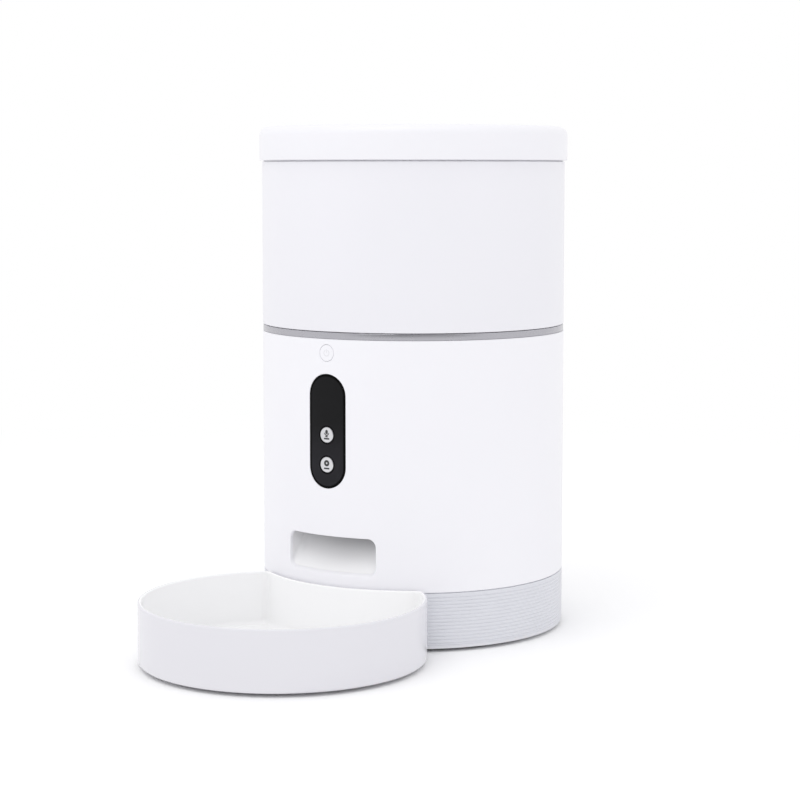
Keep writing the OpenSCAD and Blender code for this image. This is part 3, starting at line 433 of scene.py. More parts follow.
slot_h = 9 * mm


def ease(piece, radius, segments, axis=None):
    """Rounds the edges of a block: all of them, or those along one axis."""
    def chosen(edge):
        along = edge.verts[1].co - edge.verts[0].co
        return axis is None or abs(along[axis]) > 0.999 * along.length

    edit(piece)
    select_items(piece, "EDGE", chosen)
    bevel(radius, segments)
    close_mesh()
    return piece


def front_prism(name, width, height, corner, y0, y1, z, segments=10):
    """Bar along Y with a rounded outline, centred on X at a height."""
    bar = block(name, (-width / 2, y0, z - height / 2), (width / 2, y1, z + height / 2))
    return ease(bar, min(corner, 0.4999 * min(width, height)), segments, axis=1)


cut(base_ring, front_prism("slot", slot_w, slot_h, mm, body_r - 20 * mm, body_r + 5 * mm, inlet_z, 4))
settle(base_ring, "base", "silver_plastic", silver_paint, "base_ring")

# Screws: four that pull base and body together, four that hold the deck, and the small ones of the
# boards, the gearbox and the motor. Zinc-plated steel with a pan head and a cross recess.
zinc = grained("zinc_plate", ((0.60, 0.61, 0.62), (0.70, 0.71, 0.72)), (0.24, 0.36), 0.2, 300, 5000,
               {"Metallic": 1.0})


def pan_screw(shank_r, length, head_r, head_h):
    """One screw that points up, with the underside of its head at zero height."""
    pitch = 1.1 * mm
    root_r = shank_r - 0.22 * mm
    outline = [(0, -head_h), (head_r, -head_h), (head_r, 0), (root_r, 0)]
    for i in range(int((length - 2 * pitch) / pitch)):
        z = (i + 0.7) * pitch
        outline += [(root_r, z), (shank_r, z + 0.35 * pitch), (root_r, z + 0.6 * pitch)]
    outline += [(root_r, length - pitch), (0, length)]
    piece = turned("screw", outline, {1: 0.75 * head_h}, steps=36)
    half = 0.14 * head_r
    arm = 0.48 * head_r
    cross = block("cross", (-half, -half, -head_h - mm), (half, half, -0.45 * head_h))
    edit(cross)
    for x, y in ((1, 0), (-1, 0), (0, 1), (0, -1)):
        select_where(cross, "FACE", lambda co: x * co.x + y * co.y > 0.99 * half)
        extrude("region", (x * arm, y * arm, 0))
    close_mesh()
    cut(piece, cross)
    return piece


def screw_set(name, node, size, places):
    settle(copied(pan_screw(*size), places, name), "base", "steel", zinc, node)


flip = Matrix.Rotation(pi, 4, "X")
large = (1.5 * mm, 14 * mm, 2.8 * mm, 2.2 * mm)
small = (1.2 * mm, 7 * mm, 2.3 * mm, 1.6 * mm)
deck_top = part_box("deck_screws")[1].z - large[3]
screw_set("base_screw_set", "base_screws", large, [
    at(0, 0, screw_seat) @ place for place in post_places])
screw_set("deck_screw_set", "deck_screws", large, [
    at(0, 0, deck_top) @ place @ flip for place in post_places])

# Battery bay: a grey box for three backup cells, brass contact plates and the door below them.
# The tray is moulded plastic that stands on the base plate; the door swings on two short pins.
inner_plastic = grained(
    "inner_moulding", ((0.50, 0.51, 0.53), (0.57, 0.58, 0.60)), (0.45, 0.6), 0.3, 25, 1800)
contact_brass = grained(
    "contact_brass", ((0.62, 0.47, 0.22), (0.74, 0.60, 0.32)), (0.22, 0.38), 0.15, 120, 4000,
    {"Metallic": 1.0})


def dress(node, material):
    """Gives a carried-over node its finish."""
    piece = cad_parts[node]
    if not piece.material_slots:
        piece.data.materials.append(material)
    for slot in piece.material_slots:
        slot.material = material


dress("battery_tray", inner_plastic)
dress("battery_contacts", contact_brass)
leaf_w = door_w - 2 * slip
leaf_t = 2 * mm
grip_half = Vector((12, 0.6, 0.5)) * mm
first_grip = door_low.y + 10 * mm
grip_pitch = 2.6 * mm
battery_door = block(
    "battery_door_leaf", (-leaf_w / 2, door_low.y, door_low.z), (leaf_w / 2, hinge_y, door_low.z + leaf_t))
ease(battery_door, 0.35 * mm, 3)
for i in range(5):
    grip = ease(block("grip", -grip_half, grip_half), 0.4 * mm, 3, axis=0)
    cut(battery_door, placed(grip, at(0, first_grip + i * grip_pitch, door_low.z)))
barrel = peg("barrel", hinge_r, -leaf_w / 2, leaf_w / 2, 32)
pins = peg("pins", pin_r, door_low.x, door_high.x, 24)
for bar in (barrel, pins):
    add(battery_door, placed(bar, lay_down))
settle(battery_door, "battery_door", "silver_plastic", silver_plastic, "battery_door")

# Speaker and main board: bought-in parts inside the base.
# A small loudspeaker with a pressed frame over the grille, and a green circuit board on the tray.
dark_metal = grained("dark_metal", ((0.09, 0.09, 0.10), (0.14, 0.14, 0.15)), (0.35, 0.5), 0.2, 80, 3000,
                     {"Metallic": 0.8})


def surface(material):
    """A finish's nodes, and the place of a point on the piece, whole and split into X, Y and Z."""
    tree = material.node_tree
    place = add_node(tree, "ShaderNodeTexCoord").outputs["Object"]
    return tree, place, add_node(tree, "ShaderNodeSeparateXYZ", {0: place}).outputs


def sums(tree, operation, total, *others):
    """Applies one operation to numbers from left to right; they may come out of other nodes."""
    for other in others:
        total = add_node(tree, "ShaderNodeMath", {0: total, 1: other}, operation=operation).outputs[0]
    return total


def overlay(tree, mask, colour):
    """Lays a second colour over a finish where the mask is 1."""
    shader = tree.nodes["Principled BSDF"]
    below = shader.inputs["Base Color"].links[0].from_socket
    feed(tree, shader, {"Base Color": blend(tree, mask, below, (*colour, 1))})


def circuit_board(name, face_axis, face_at):
    """Green solder mask with pale tracks on the board itself, and dark housings past the given face."""
    material = grained(name, ((0.012, 0.10, 0.045), (0.02, 0.15, 0.07)), (0.3, 0.42), 0.1, 90, 4000)
    tree, place, parts = surface(material)
    tilt = pi / 2 if face_axis == 1 else 0
    turn = add_node(tree, "ShaderNodeMapping", {"Vector": place, "Rotation": (tilt, 0, 0)})
    tracks = add_node(tree, "ShaderNodeTexBrick", {
        "Vector": turn.outputs["Vector"], "Scale": 55, "Mortar Size": 0.012,
        "Color1": (0, 0, 0, 1), "Color2": (0, 0, 0, 1), "Mortar": (1, 1, 1, 1)})
    overlay(tree, tracks.outputs["Color"], (0.05, 0.24, 0.12))
    overlay(tree, sums(tree, "GREATER_THAN", parts[face_axis], face_at), (0.03, 0.03, 0.033))
    return material


dress("speaker", dark_metal)
board_low, board_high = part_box("main_board")
front_low, front_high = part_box("front_board")
board_t = 1.6 * mm
board_edge = 5 * mm
standoff_x = 8 * mm
standoff_heights = front_low.z + 4.5 * mm, shell_high.z - 24.2 * mm
dress("main_board", circuit_board("main_board_mask", 2, board_low.z + board_t + 0.1 * mm))
screw_places = []
for x in (-1, 1):
    for y in (board_low.y + board_edge, board_high.y - board_edge):
        screw_places.append(at(x * (board_high.x - board_edge), y, board_low.z + board_t) @ flip)
    for z in standoff_heights:
        screw_places.append(at(x * standoff_x, front_high.y, z) @ Matrix.Rotation(pi / 2, 4, "X"))
screw_set("board_screw_set", "board_screws", small, screw_places)

# Power inlet: the socket low at the back of the ribbed ring.
# A black plastic housing clipped in from inside, with a drawn steel shell and a contact tongue.
black_plastic = grained(
    "black_housing", ((0.018, 0.018, 0.02), (0.03, 0.03, 0.032)), (0.4, 0.5), 0.3, 60, 3000)
inlet_front = ring_in + 1.4 * mm
inlet_gap = 0.3 * mm
socket_w = 9.2 * mm
socket_h = 3.4 * mm
socket_back = inlet_front - 8 * mm
tongue_w = 6.7 * mm
tongue_h = 0.7 * mm
steel_t = 0.3 * mm
steel_gap = 0.02 * mm
inlet = front_prism(
    "inlet_housing", slot_w - inlet_gap, slot_h - inlet_gap, 0.9 * mm, inlet_low.y, inlet_front, inlet_z, 4)
flange = block("flange", (inlet_low.x, ring_in - 3 * mm, inlet_low.z), (inlet_high.x, body_r, inlet_high.z))
combine(flange, peg("limit", ring_in - fit, inlet_low.z - mm, inlet_high.z + mm, 192), "INTERSECT")
add(inlet, flange)
cut(inlet, front_prism("cavity", socket_w, socket_h, socket_h, socket_back, inlet_front + mm, inlet_z))
add(inlet, front_prism(
    "tongue", tongue_w, tongue_h, 0.2 * mm, socket_back - 0.5 * mm, inlet_front - mm, inlet_z, 3))
settle(inlet, "base", "panel_black", black_plastic, "power_inlet")
metal_shell = front_prism("inlet_steel_shell", socket_w - steel_gap, socket_h - steel_gap, socket_h,
                          socket_back + 0.1 * mm, inlet_front - 0.1 * mm, inlet_z)
cut(metal_shell, front_prism("bore", socket_w - 2 * steel_t, socket_h - 2 * steel_t, socket_h,
                             socket_back - mm, inlet_front + mm, inlet_z))
settle(metal_shell, "base", "steel", zinc, "power_inlet")

# Body shell: the white round housing with the food outlet, the panel recess and the button holes.
# Moulded in satin white plastic; its screw columns are moulded on inside, with webs to the wall.
body_white = grained(
    "body_white", ((0.905, 0.900, 0.938), (0.935, 0.930, 0.965)), (0.30, 0.40), 0.16, 9, 1500)
wall = 2.4 * mm
shell_z = shell_low.z
shell_top = shell_high.z


def arc(half):
    """Length round the body of a half width that is measured straight across."""
    return body_r * asin(half / body_r)


def front_peg(name, radius, y0, y1, z, sides=64):
    """Round bar along Y, centred on X at a height."""
    return placed(peg(name, radius, y0, y1, sides), at(0, 0, z) @ Matrix.Rotation(-pi / 2, 4, "X"))


def soften(piece, radius, segments, test):
    """Rounds the sharp edges that lie where the test says, on a piece in edit mode."""
    select_where(piece, "EDGE", test, sharp=0.5)
    bevel(radius, segments)


def rolled(piece, radius, strips):
    """Slits a flat sheet, whose outer face lies at y = 0, into strips and rolls it round the body's axis."""
    edit(piece)
    half_w = max(corner[0] for corner in piece.bound_box)
    for i in range(1, strips):
        select_all()
        bpy.ops.mesh.bisect(plane_co=(half_w * (2 * i / strips - 1), 0, 0), plane_no=(1, 0, 0))
    modify(piece, "SIMPLE_DEFORM", deform_method="BEND", deform_axis="Z", angle=2 * half_w / radius)
    edit(piece)
    select_all()
    shift((0, -radius, 0))
    close_mesh()


def even_shading(piece, angle=30):
    """Smooth shading that lets the large faces lead, so that flats stay flat beside their rounded edges."""
    smooth(piece, angle)
    modify(piece, "WEIGHTED_NORMAL", keep_sharp=True)


outlet_w = 73 * mm
outlet_h = 24.6 * mm
outlet_z = shell_z + 12.1 * mm + outlet_h / 2
outlet_corner = 6 * mm
sill_slope = 0.8
panel_low, panel_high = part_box("control_panel")
panel_w = panel_high.x - panel_low.x + 2 * fit
panel_h = panel_high.z - panel_low.z + 2 * fit
panel_z = centre_of("control_panel").z
panel_t = 1.4 * mm
button_gap = 0.2 * mm
flange_edge = 1.1 * mm
camera_hole_r = 6 * mm
hole_sizes = []
for node in ("record_button", "play_button", "power_button"):
    low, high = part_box(node)
    hole_sizes.append(((high.x - low.x) / 2 - flange_edge + button_gap, centre_of(node).z))
hole_sizes.append((camera_hole_r, centre_of("camera_lens").z))
half_turn = pi * body_r
shell = block("body_shell_moulding", (-half_turn, 0, shell_z), (half_turn, wall, shell_top))
outlet_cut = front_prism(
    "outlet", 2 * arc(outlet_w / 2), outlet_h, outlet_corner, -mm, wall + 0.05 * mm, outlet_z, 12)
edit(outlet_cut)
select_where(outlet_cut, "VERT", lambda co: co.y < 0 and co.z < outlet_z)
shift((0, 0, -sill_slope * (wall + mm)))
cut(shell, outlet_cut)
cut(shell, front_prism("recess", 2 * arc(panel_w / 2), panel_h, panel_w, -mm, panel_t, panel_z, 32))
for radius, z in hole_sizes:
    cut(shell, front_peg("hole", radius, -mm, wall + mm, z))
edit(shell)
soft_edges = [
    (0.7 * mm, lambda co: abs(co.z - outlet_z) < outlet_h / 2 + 4 * mm),
    (0.25 * mm, lambda co: abs(co.z - panel_z) < panel_h / 2 + mm),
    (0.22 * mm, lambda co: co.z > panel_z + panel_h / 2 + mm and shell_top - co.z > mm),
    (0.35 * mm, lambda co: co.z - shell_z < close),
    (0.35 * mm, lambda co: shell_top - co.z < close),
]
for radius, here in soft_edges:
    soften(shell, radius, 3, lambda co: co.y < close and here(co))
for end in (-1, 1):
    select_where(shell, "FACE", lambda co: half_turn - end * co.x < close)
    bpy.ops.mesh.delete(type="ONLY_FACE")
rolled(shell, body_r, 240)


def turns(count, start):
    """Even turns about the body's axis, from a starting angle in degrees."""
    return [Matrix.Rotation(radians(start + 360 / count * i), 4, "Z") for i in range(count)]


deck_z = deck_top - 3 * mm
column_z = post_top + close
web_half = 1.5 * mm
add(shell, copied(peg("columns", post_r, column_z, deck_z), post_places))
web = block("web", (post_reach, -web_half, column_z), (body_r - wall / 2, web_half, deck_z))
add(shell, copied(web, turns(4, 45)))
even_shading(shell)
settle(shell, "base", "white_plastic", body_white, "body_shell")

# Trim ring: the satin band between the body and the hopper.
# Silver-finished plastic with fine turning marks, pressed into the top of the body shell.
upright = (1, 1, 0)
facing = (1, 0, 1)


def vectors(tree, operation, *values):
    """One sum of vectors, which may come out of other nodes."""
    return add_node(tree, "ShaderNodeVectorMath", dict(enumerate(values)), operation=operation).outputs


def reach(tree, place, centre, axes):
    """Distance of a point of the surface from a centre, counted along the chosen axes."""
    moved = vectors(tree, "SUBTRACT", place, centre)[0]
    return vectors(tree, "LENGTH", vectors(tree, "MULTIPLY", moved, axes)[0])["Value"]


def turned_metal(name, tones, rough, lines, ring_z=None):
    """Satin metal with fine marks: level on a band, or as rings about a button's centre at a height."""
    material = grained(name, tones, rough, 0.08, 40, 4000, {"Metallic": 1.0})
    tree, place, parts = surface(material)
    along = parts["Z"] if ring_z is None else reach(tree, place, (0, 0, ring_z), facing)
    stripes = add_node(
        tree, "ShaderNodeTexNoise", {"W": along, "Scale": lines, "Detail": 3}, noise_dimensions="1D")
    raised = tree.nodes["Principled BSDF"].inputs["Normal"].links[0].from_node
    feed(tree, raised, {"Height": stripes.outputs[0]})
    return material


trim_low, trim_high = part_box("trim_ring")
trim_metal = turned_metal("trim_satin", ((0.43, 0.425, 0.46), (0.50, 0.494, 0.532)), (0.22, 0.30), 9000)
trim_ring = turned("trim_ring_satin", stepped(
    spigot_in, trim_low.z, spigot_out, shell_top, trim_high.x, trim_high.z, spigot_in,
), {3: 0.55 * mm, 4: 0.55 * mm, 5: 0.4 * mm}, steps=224)
settle(trim_ring, "base", "trim_silver", trim_metal, "trim_ring")

# Control panel: the dark oblong in the front recess, with the camera behind its upper half.
# Smoked acrylic, bent to the body's curve and glued in, with holes for the two lower buttons. It is paler
#  towards its foot, and its border is printed black. Dark rings round the two button holes are painted shade
#  of the gaps about the buttons.
panel_gloss = grained(
    "smoked_panel", ((0.0120, 0.0120, 0.0127), (0.0148, 0.0148, 0.0157)), (0.10, 0.17), 0.02, 25, 900,
    {"Specular IOR Level": 0.05})


def fade(tree, value, start, end, first=0, last=1):
    """Mask that goes softly from 0 to 1, or between other ends, while a value passes from start to end."""
    step = add_node(tree, "ShaderNodeMapRange", {
        "Value": value, "From Min": start, "From Max": end, "To Min": first, "To Max": last,
    }, interpolation_type="SMOOTHSTEP")
    return step.outputs["Result"]


tree, place, parts = surface(panel_gloss)
overlay(tree, fade(tree, parts["Z"], panel_z + 0.15 * panel_h, panel_z - 0.3 * panel_h),
        (0.0235, 0.0230, 0.0265))
height = reach(tree, place, (0, 0, panel_z), (0, 0, 1))
height = sums(tree, "MAXIMUM", sums(tree, "SUBTRACT", height, (panel_h - panel_w) / 2), 0)
spot = add_node(tree, "ShaderNodeCombineXYZ", {"X": parts["X"], "Z": height})
away = vectors(tree, "LENGTH", spot.outputs[0])["Value"]
print_and_gap_shade = fade(tree, away, panel_w / 2 - 2.2 * mm, panel_w / 2 - 1.4 * mm)
# Painted shade: dark rings round the two button holes stand in for the shade in the gaps about the buttons.
for radius, z in hole_sizes[:2]:
    away = reach(tree, place, (0, 0, z), facing)
    print_and_gap_shade = sums(tree, "MAXIMUM", print_and_gap_shade, fade(tree, away, radius + 1.1 * mm, radius + 0.5 * mm))
overlay(tree, print_and_gap_shade, (0.0012, 0.0012, 0.0013))
panel = front_prism("control_panel_gloss", 2 * arc(panel_w / 2) - 2 * fit, panel_h - 2 * fit, panel_w,
                    0, panel_t - 0.05 * mm, panel_z, 32)
for radius, z in hole_sizes[:2]:
    cut(panel, front_peg("hole", radius, -mm, panel_t + mm, z))
edit(panel)
soften(panel, 0.35 * mm, 3, lambda co: co.y < close)
rolled(panel, body_r, 34)
even_shading(panel)
settle(panel, "base", "panel_black", panel_gloss, "control_panel")

# Push buttons: record and play in the panel, power above it.
# Two silver-finished discs and one white disc, each on a stem with a flange that works a switch; their
# marks are printed.
print_black = grained("print_black", ((0.02, 0.02, 0.022), (0.03, 0.03, 0.033)), (0.5, 0.6), 0.05, 200, 4000)
print_grey = grained("print_grey", ((0.70, 0.70, 0.73), (0.75, 0.75, 0.78)), (0.5, 0.6), 0.05, 200, 4000)
inner_r = body_r - wall
button_proud = 0.25 * mm
dish = 0.12 * mm
stem_r = 2.5 * mm


def push_button(name, node, radius, z, face_r, material, slot, edge, rim=0):
    """Disc that follows the body's curve, with its flange and stem behind and, if asked for, a raised rim."""
    low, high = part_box(node)
    flange_y = 0.5 * mm - inner_r
    disc = front_peg(name, radius, 0, face_r + flange_y + 0.2 * mm, z)
    edit(disc)
    soften(disc, edge, 3, lambda co: co.y < close)
    if rim:
        select_where(disc, "FACE", lambda co: co.y < close)
        bpy.ops.mesh.inset(thickness=rim)
        bpy.ops.mesh.inset(thickness=rim / 2)
        shift((0, dish, 0))
    rolled(disc, face_r, 12)
    add(disc, front_peg("flange", (high.x - low.x) / 2, flange_y, flange_y + mm, z))
    add(disc, front_peg("stem", stem_r, flange_y + 0.5 * mm, high.y, z, 32))
    even_shading(disc)
    settle(disc, node, slot, material, node)


def printed(name, marks, node, slot, material):
    """Joins the flat marks of one button and prints them on it."""
    piece = joined(marks)
    piece.name = name
    settle(piece, node, slot, material)


def mark_ring(outer, inner, y0, y1, z):
    ring = front_peg("ring", outer, y0, y1, z, 40)
    cut(ring, front_peg("bore", inner, y0 - mm, y1 + mm, z, 40))
    return ring


button_r = hole_sizes[0][0] - button_gap
power_r = hole_sizes[2][0] - button_gap
record_z, play_z, power_z = (z for radius, z in hole_sizes[:3])
button_face = body_r + button_proud
mark_back = dish - button_face + 0.1 * mm
mark_front = dish - button_face - 0.015 * mm
inlaid = mark_front, mark_back
for name, node, z in (("record", "record_button", record_z), ("play", "play_button", play_z)):
    button_metal = turned_metal(
        f"{name}_satin", ((0.66, 0.66, 0.68), (0.74, 0.74, 0.76)), (0.26, 0.36), 7000, z)
    push_button(f"{name}_button_disc", node, button_r, z, button_face, button_metal, "button_silver",
                0.6 * mm, 0.45 * mm)
    bar = front_prism("bar", 4.6 * mm, 1.1 * mm, 0.5 * mm, *inlaid, z - 2.6 * mm, 4)
    if name == "record":
        head = front_prism("head", 2.1 * mm, 3.0 * mm, 1.05 * mm, *inlaid, z + 2.1 * mm, 6)
        cradle_z = z + 1.4 * mm
        cradle = mark_ring(2.0 * mm, 1.3 * mm, *inlaid, cradle_z)
        cut(cradle, block(
            "upper", (-3 * mm, mark_front - mm, cradle_z), (3 * mm, mark_back + mm, z + 4 * mm)))
        stem = front_prism("stem", 0.8 * mm, 1.0 * mm, 0.05 * mm, *inlaid, z - 0.6 * mm, 2)
        foot = front_prism("foot", 2.4 * mm, 0.65 * mm, 0.2 * mm, *inlaid, z - 1.2 * mm, 2)
        marks = [head, cradle, stem, foot, bar]
    else:
        marks = [mark_ring(2.2 * mm, 0.65 * mm, *inlaid, z + 1.1 * mm), bar]
    printed(f"{name}_button_print", marks, node, "panel_black", print_black)
push_button("power_button_disc", "power_button", power_r, power_z, body_r, body_white, "white_plastic",
            0.25 * mm)
power_back = -body_r + 0.1 * mm
power_front = -body_r - 0.01 * mm
power_ring = mark_ring(2.3 * mm, 1.95 * mm, power_front, power_back, power_z)
cut(power_ring, block("break", (-0.9 * mm, power_front - mm, power_z),
                      (0.9 * mm, power_back + mm, power_z + 4 * mm)))
power_bar = front_prism(
    "bar", 0.36 * mm, 2.6 * mm, 0.15 * mm, power_front, power_back, power_z + 1.4 * mm, 3)
printed("power_button_print", [power_ring, power_bar], "power_button", "white_plastic", print_grey)

# Front board, dome switches and camera: bought-in parts behind the panel.
# A second circuit board on the shell's standoffs carries the switches and the camera block with its lens.
lens_glass = grained("coated_lens", ((0.012, 0.014, 0.03), (0.02, 0.018, 0.045)), (0.03, 0.06), 0.0, 80, 1000,
                     {"Coat Weight": 1.0, "IOR": 1.6})
dress("front_board", circuit_board("front_board_mask", 1, front_high.y + mm))
dress("button_switches", dark_metal)
dress("camera_module", black_plastic)
dress("camera_lens", lens_glass)

# Chute: the sloping duct that leads the portion from the drum's window to the outlet.
# One white moulding, lofted from the narrow inlet to the wide mouth, with two screw ears. Painted shade
#  greys it towards the top of the outlet, and least at the left.
chute_white = grained(
    "chute_white", ((0.955, 0.952, 0.966), (0.975, 0.972, 0.984)), (0.30, 0.40), 0.16, 12, 1500)
tree, place, parts = surface(chute_white)
# Painted shade: the duct darkens towards the top of the outlet, least at the left.
painted_duct_shade = fade(tree, parts["Z"], outlet_z - 0.05 * outlet_h, outlet_z + 0.75 * outlet_h)
shade_less_at_left = fade(tree, parts["X"], -0.7 * outlet_w, 0.05 * outlet_w)
overlay(tree, sums(tree, "MULTIPLY", painted_duct_shade, shade_less_at_left), (0.48, 0.48, 0.495))
chute_low, chute_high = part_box("chute")
chute_wall = 1.8 * mm
mouth_y = -sqrt(inner_r ** 2 - (outlet_w / 2) ** 2)
window_half = radians(28)
window_in = 31 * mm
cup_r = 49 * mm
inlet_half_w = cup_r * sin(window_half) + 1.5 * mm
inlet_back = -(window_in * cos(window_half) - 0.5 * mm)
inlet_face = -(cup_r - 0.5 * mm)
inlet_corner = 2.5 * mm
chute = created("chute_duct", bpy.ops.mesh.primitive_plane_add, size=1,
                location=(0, mouth_y, outlet_z), rotation=(pi / 2, 0, 0))
chute.scale = (outlet_w, outlet_h, 1)
bpy.ops.object.transform_apply()
edit(chute)
select_all()
bevel(outlet_corner, 8, "VERTICES")
select_all()
bpy.ops.mesh.delete(type="ONLY_FACE")
bpy.ops.mesh.primitive_plane_add(size=1)
bpy.ops.transform.resize(value=(2 * inlet_half_w, inlet_back - inlet_face, 1), center_override=(0, 0, 0))
shift((0, (inlet_back + inlet_face) / 2, chute_high.z))
bevel(inlet_corner, 8, "VERTICES")
select_where(chute, "FACE", lambda co: co.z > chute_high.z - close)
bpy.ops.mesh.delete(type="ONLY_FACE")
select_where(chute, "EDGE", lambda co: (
    abs(abs(co.z - outlet_z) - outlet_h / 2) < tiny
    or min(abs(co.y - end) for end in (inlet_back, inlet_face)) < tiny))
bpy.ops.mesh.subdivide(number_cuts=15)
bpy.ops.mesh.select_mode(type="EDGE")
select_all()
bpy.ops.mesh.bridge_edge_loops(number_cuts=6, interpolation="LINEAR")
select_where(chute, "VERT", lambda co: co.y < mouth_y + close)
bpy.ops.object.vertex_group_assign_new()
bpy.ops.object.mode_set(mode="OBJECT")
wall_face = peg("wall_face", inner_r, chute_low.z - 5 * mm, chute_high.z, 224)
modify(chute, "SHRINKWRAP", wrap_method="PROJECT", use_project_y=True, use_negative_direction=True,
       use_positive_direction=False, target=wall_face, vertex_group=chute.vertex_groups[0].name)
bpy.data.objects.remove(wall_face)
chute.vertex_groups.clear()
edit(chute)
select_where(chute, "EDGE", lambda co: co.y < mouth_y + close and co.xy.length > inner_r - 0.1 * mm)
extrude("edges", (0, -3 * mm, 0))
close_mesh()
modify(chute, "SOLIDIFY", thickness=chute_wall, offset=1, use_even_offset=True)
combine(chute, peg("limit", inner_r - fit, chute_low.z - mm, chute_high.z, 224), "INTERSECT")
ear_spot = 30.3 * mm, -37.69 * mm
ear_r = 4.6 * mm
ear_t = 3 * mm
ear_places = [at(side * ear_spot[0], ear_spot[1]) for side in (-1, 1)]
add(chute, copied(peg("ears", ear_r, chute_high.z - ear_t, chute_high.z), ear_places))
ear_holes = peg("holes", screw_hole_r, chute_high.z - ear_t - mm, chute_high.z + mm, 24)
cut(chute, copied(ear_holes, ear_places))
even_shading(chute, 40)
settle(chute, "base", "white_plastic", chute_white, "chute")

# Dispenser deck: the shelf across the body that carries the drum, the gears and the hopper.
# Moulded in grey plastic, with a window in the drum's floor, a collar for the hopper's throat and a
# notch for the front board. A soft guard covers the pocket over the window.


def front_wedge(name, r0, r1, half, low, high, steps=24):
    """Block between two radii that spans an angle to each side of the front."""
    start = -pi / 2 - half
    across = Vector((cos(start), sin(start), 0))
    up = Vector((0, 0, 1))
    piece = start_point(name, across * r0 + up * low)
    for move in (across * (r1 - r0), up * (high - low), across * (r0 - r1)):
        extrude("vertices", move)
    select_all()
    bpy.ops.mesh.edge_face_add()
    bpy.ops.mesh.spin(steps=steps, angle=-2 * half, center=(0, 0, 0), axis=(0, 0, 1))
    close_mesh()
    return piece


deck_low, deck_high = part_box("dispenser_deck")
bush_bore = 6.1 * mm
boss_r = 10.05 * mm
drum_z = chute_high.z
drum_floor = drum_z + 3.5 * mm
cup_out = cup_r + 3.4 * mm
collar_in = cup_r + 2 * mm
collar_out = collar_in + wall
notch_half = front_high.x + mm
notch_y = front_high.y + small[3] + mm
deck_rounds = {
    3: mm, 4: mm, 5: 0.4 * mm, 6: 0.4 * mm, 7: mm, 8: 0.6 * mm, 9: 0.6 * mm, 11: 0.5 * mm, 12: 0.8 * mm}
deck = turned("deck_moulding", stepped(
    bush_bore, deck_low.z, boss_r, drum_z, cup_out, deck_z, deck_high.x, deck_top, collar_out, deck_high.z,
    collar_in, deck_top, cup_r, drum_floor, bush_bore,
), deck_rounds, steps=160)
cut(deck, front_wedge("window", window_in, cup_r - mm, window_half, drum_z - mm, drum_floor + mm))
cut(deck, block("notch", (-notch_half, -body_r, deck_z - mm), (notch_half, notch_y, deck_top + mm)))
cut(deck, copied(peg("holes", screw_hole_r, deck_z - mm, deck_top + mm, 24), post_places))
settle(deck, "base", "inner_grey", inner_plastic, "dispenser_deck")
soft_grey = grained("soft_silicone", ((0.46, 0.46, 0.48), (0.53, 0.53, 0.55)), (0.55, 0.7), 0.4, 50, 2500,
                    {"Specular IOR Level": 0.4})
guard_low, guard_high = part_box("flow_guard")
guard_in = 14.5 * mm
guard_half = window_half + radians(8)
guard = front_wedge(
    "flow_guard_flap", guard_in, collar_in - fit, guard_half, guard_low.z, guard_high.z, 30)
edit(guard)
soften(guard, 0.6 * mm, 3, lambda co: co.z > guard_high.z - close)
settle(guard, "base", "silicone", soft_grey, "flow_guard")
dress("shaft_bushing", contact_brass)

# Rotor: the six-pocket wheel that measures the food, with a cone on top that stirs the heap.
# The wheel is moulded in cream plastic and keyed to the shaft; the white cone is pressed into its hub.
gear_cream = grained("gear_cream", ((0.66, 0.62, 0.52), (0.73, 0.69, 0.60)), (0.4, 0.52), 0.25, 40, 2200)
rotor_low, rotor_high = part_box("rotor")
hub_r = 12 * mm
shaft_bore = 4.025 * mm
vane_r = cup_r - 0.6 * mm
vane_half = 1.2 * mm
rotor = turned("rotor_wheel", stepped(shaft_bore, rotor_low.z, hub_r, rotor_high.z, shaft_bore),
               {1: 0.6 * mm, 2: 0.6 * mm}, steps=72)
vane = block("vane", (hub_r - mm, -vane_half, rotor_low.z), (vane_r, vane_half, rotor_high.z))
add(rotor, copied(ease(vane, 0.5 * mm, 3), turns(6, -60)))
settle(rotor, "rotor", "gear_plastic", gear_cream, "rotor")
cone_low, cone_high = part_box("rotor_cap")
plug_r = 3.95 * mm
tip_r = 3 * mm
fin_h = 10 * mm
cone = turned("rotor_cone", [
    *stepped(0, cone_low.z, plug_r, rotor_high.z, hub_r, rotor_high.z + 2 * mm),
    (tip_r, cone_high.z), (0, cone_high.z),
], {4: 0.8 * mm, 5: 2 * mm}, steps=72)
fin = block("fin", (0, -mm, rotor_high.z), (hub_r + 0.5 * mm, mm, rotor_high.z + fin_h))
add(cone, copied(ease(fin, 0.5 * mm, 3), turns(3, 90)))
settle(cone, "rotor", "white_plastic", body_white, "rotor_cap")

# Drive: steel shaft and pins, moulded gears, their housing under the drum and the geared motor.
# Bought-in motor and shafts; the gears and the housing are moulded and held by small screws.
for node in ("rotor_shaft", "idler_pin", "motor_shaft"):
    dress(node, zinc)
for node in ("rotor_gear", "idler_gear", "motor_pinion"):
    dress(node, gear_cream)
dress("gearbox_housing", inner_plastic)
dress("gear_motor", dark_metal)
short = (1.5 * mm, 5.5 * mm, 2.8 * mm, 2.2 * mm)
short_spots = (24.8 * mm, 12 * mm), (20.65 * mm, 40.13 * mm), ear_spot
screw_set("mechanism_screw_set", "mechanism_screws", short, [
    at(side * x, y, drum_z - ear_t) for x, y in short_spots for side in (-1, 1)])
motor_spot = 8.7 * mm, 48 * mm
motor_screw_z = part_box("motor_screws")[1].z - small[3]
screw_set("motor_screw_set", "motor_screws", small, [
    at(side * motor_spot[0], motor_spot[1], motor_screw_z) @ flip for side in (-1, 1)])

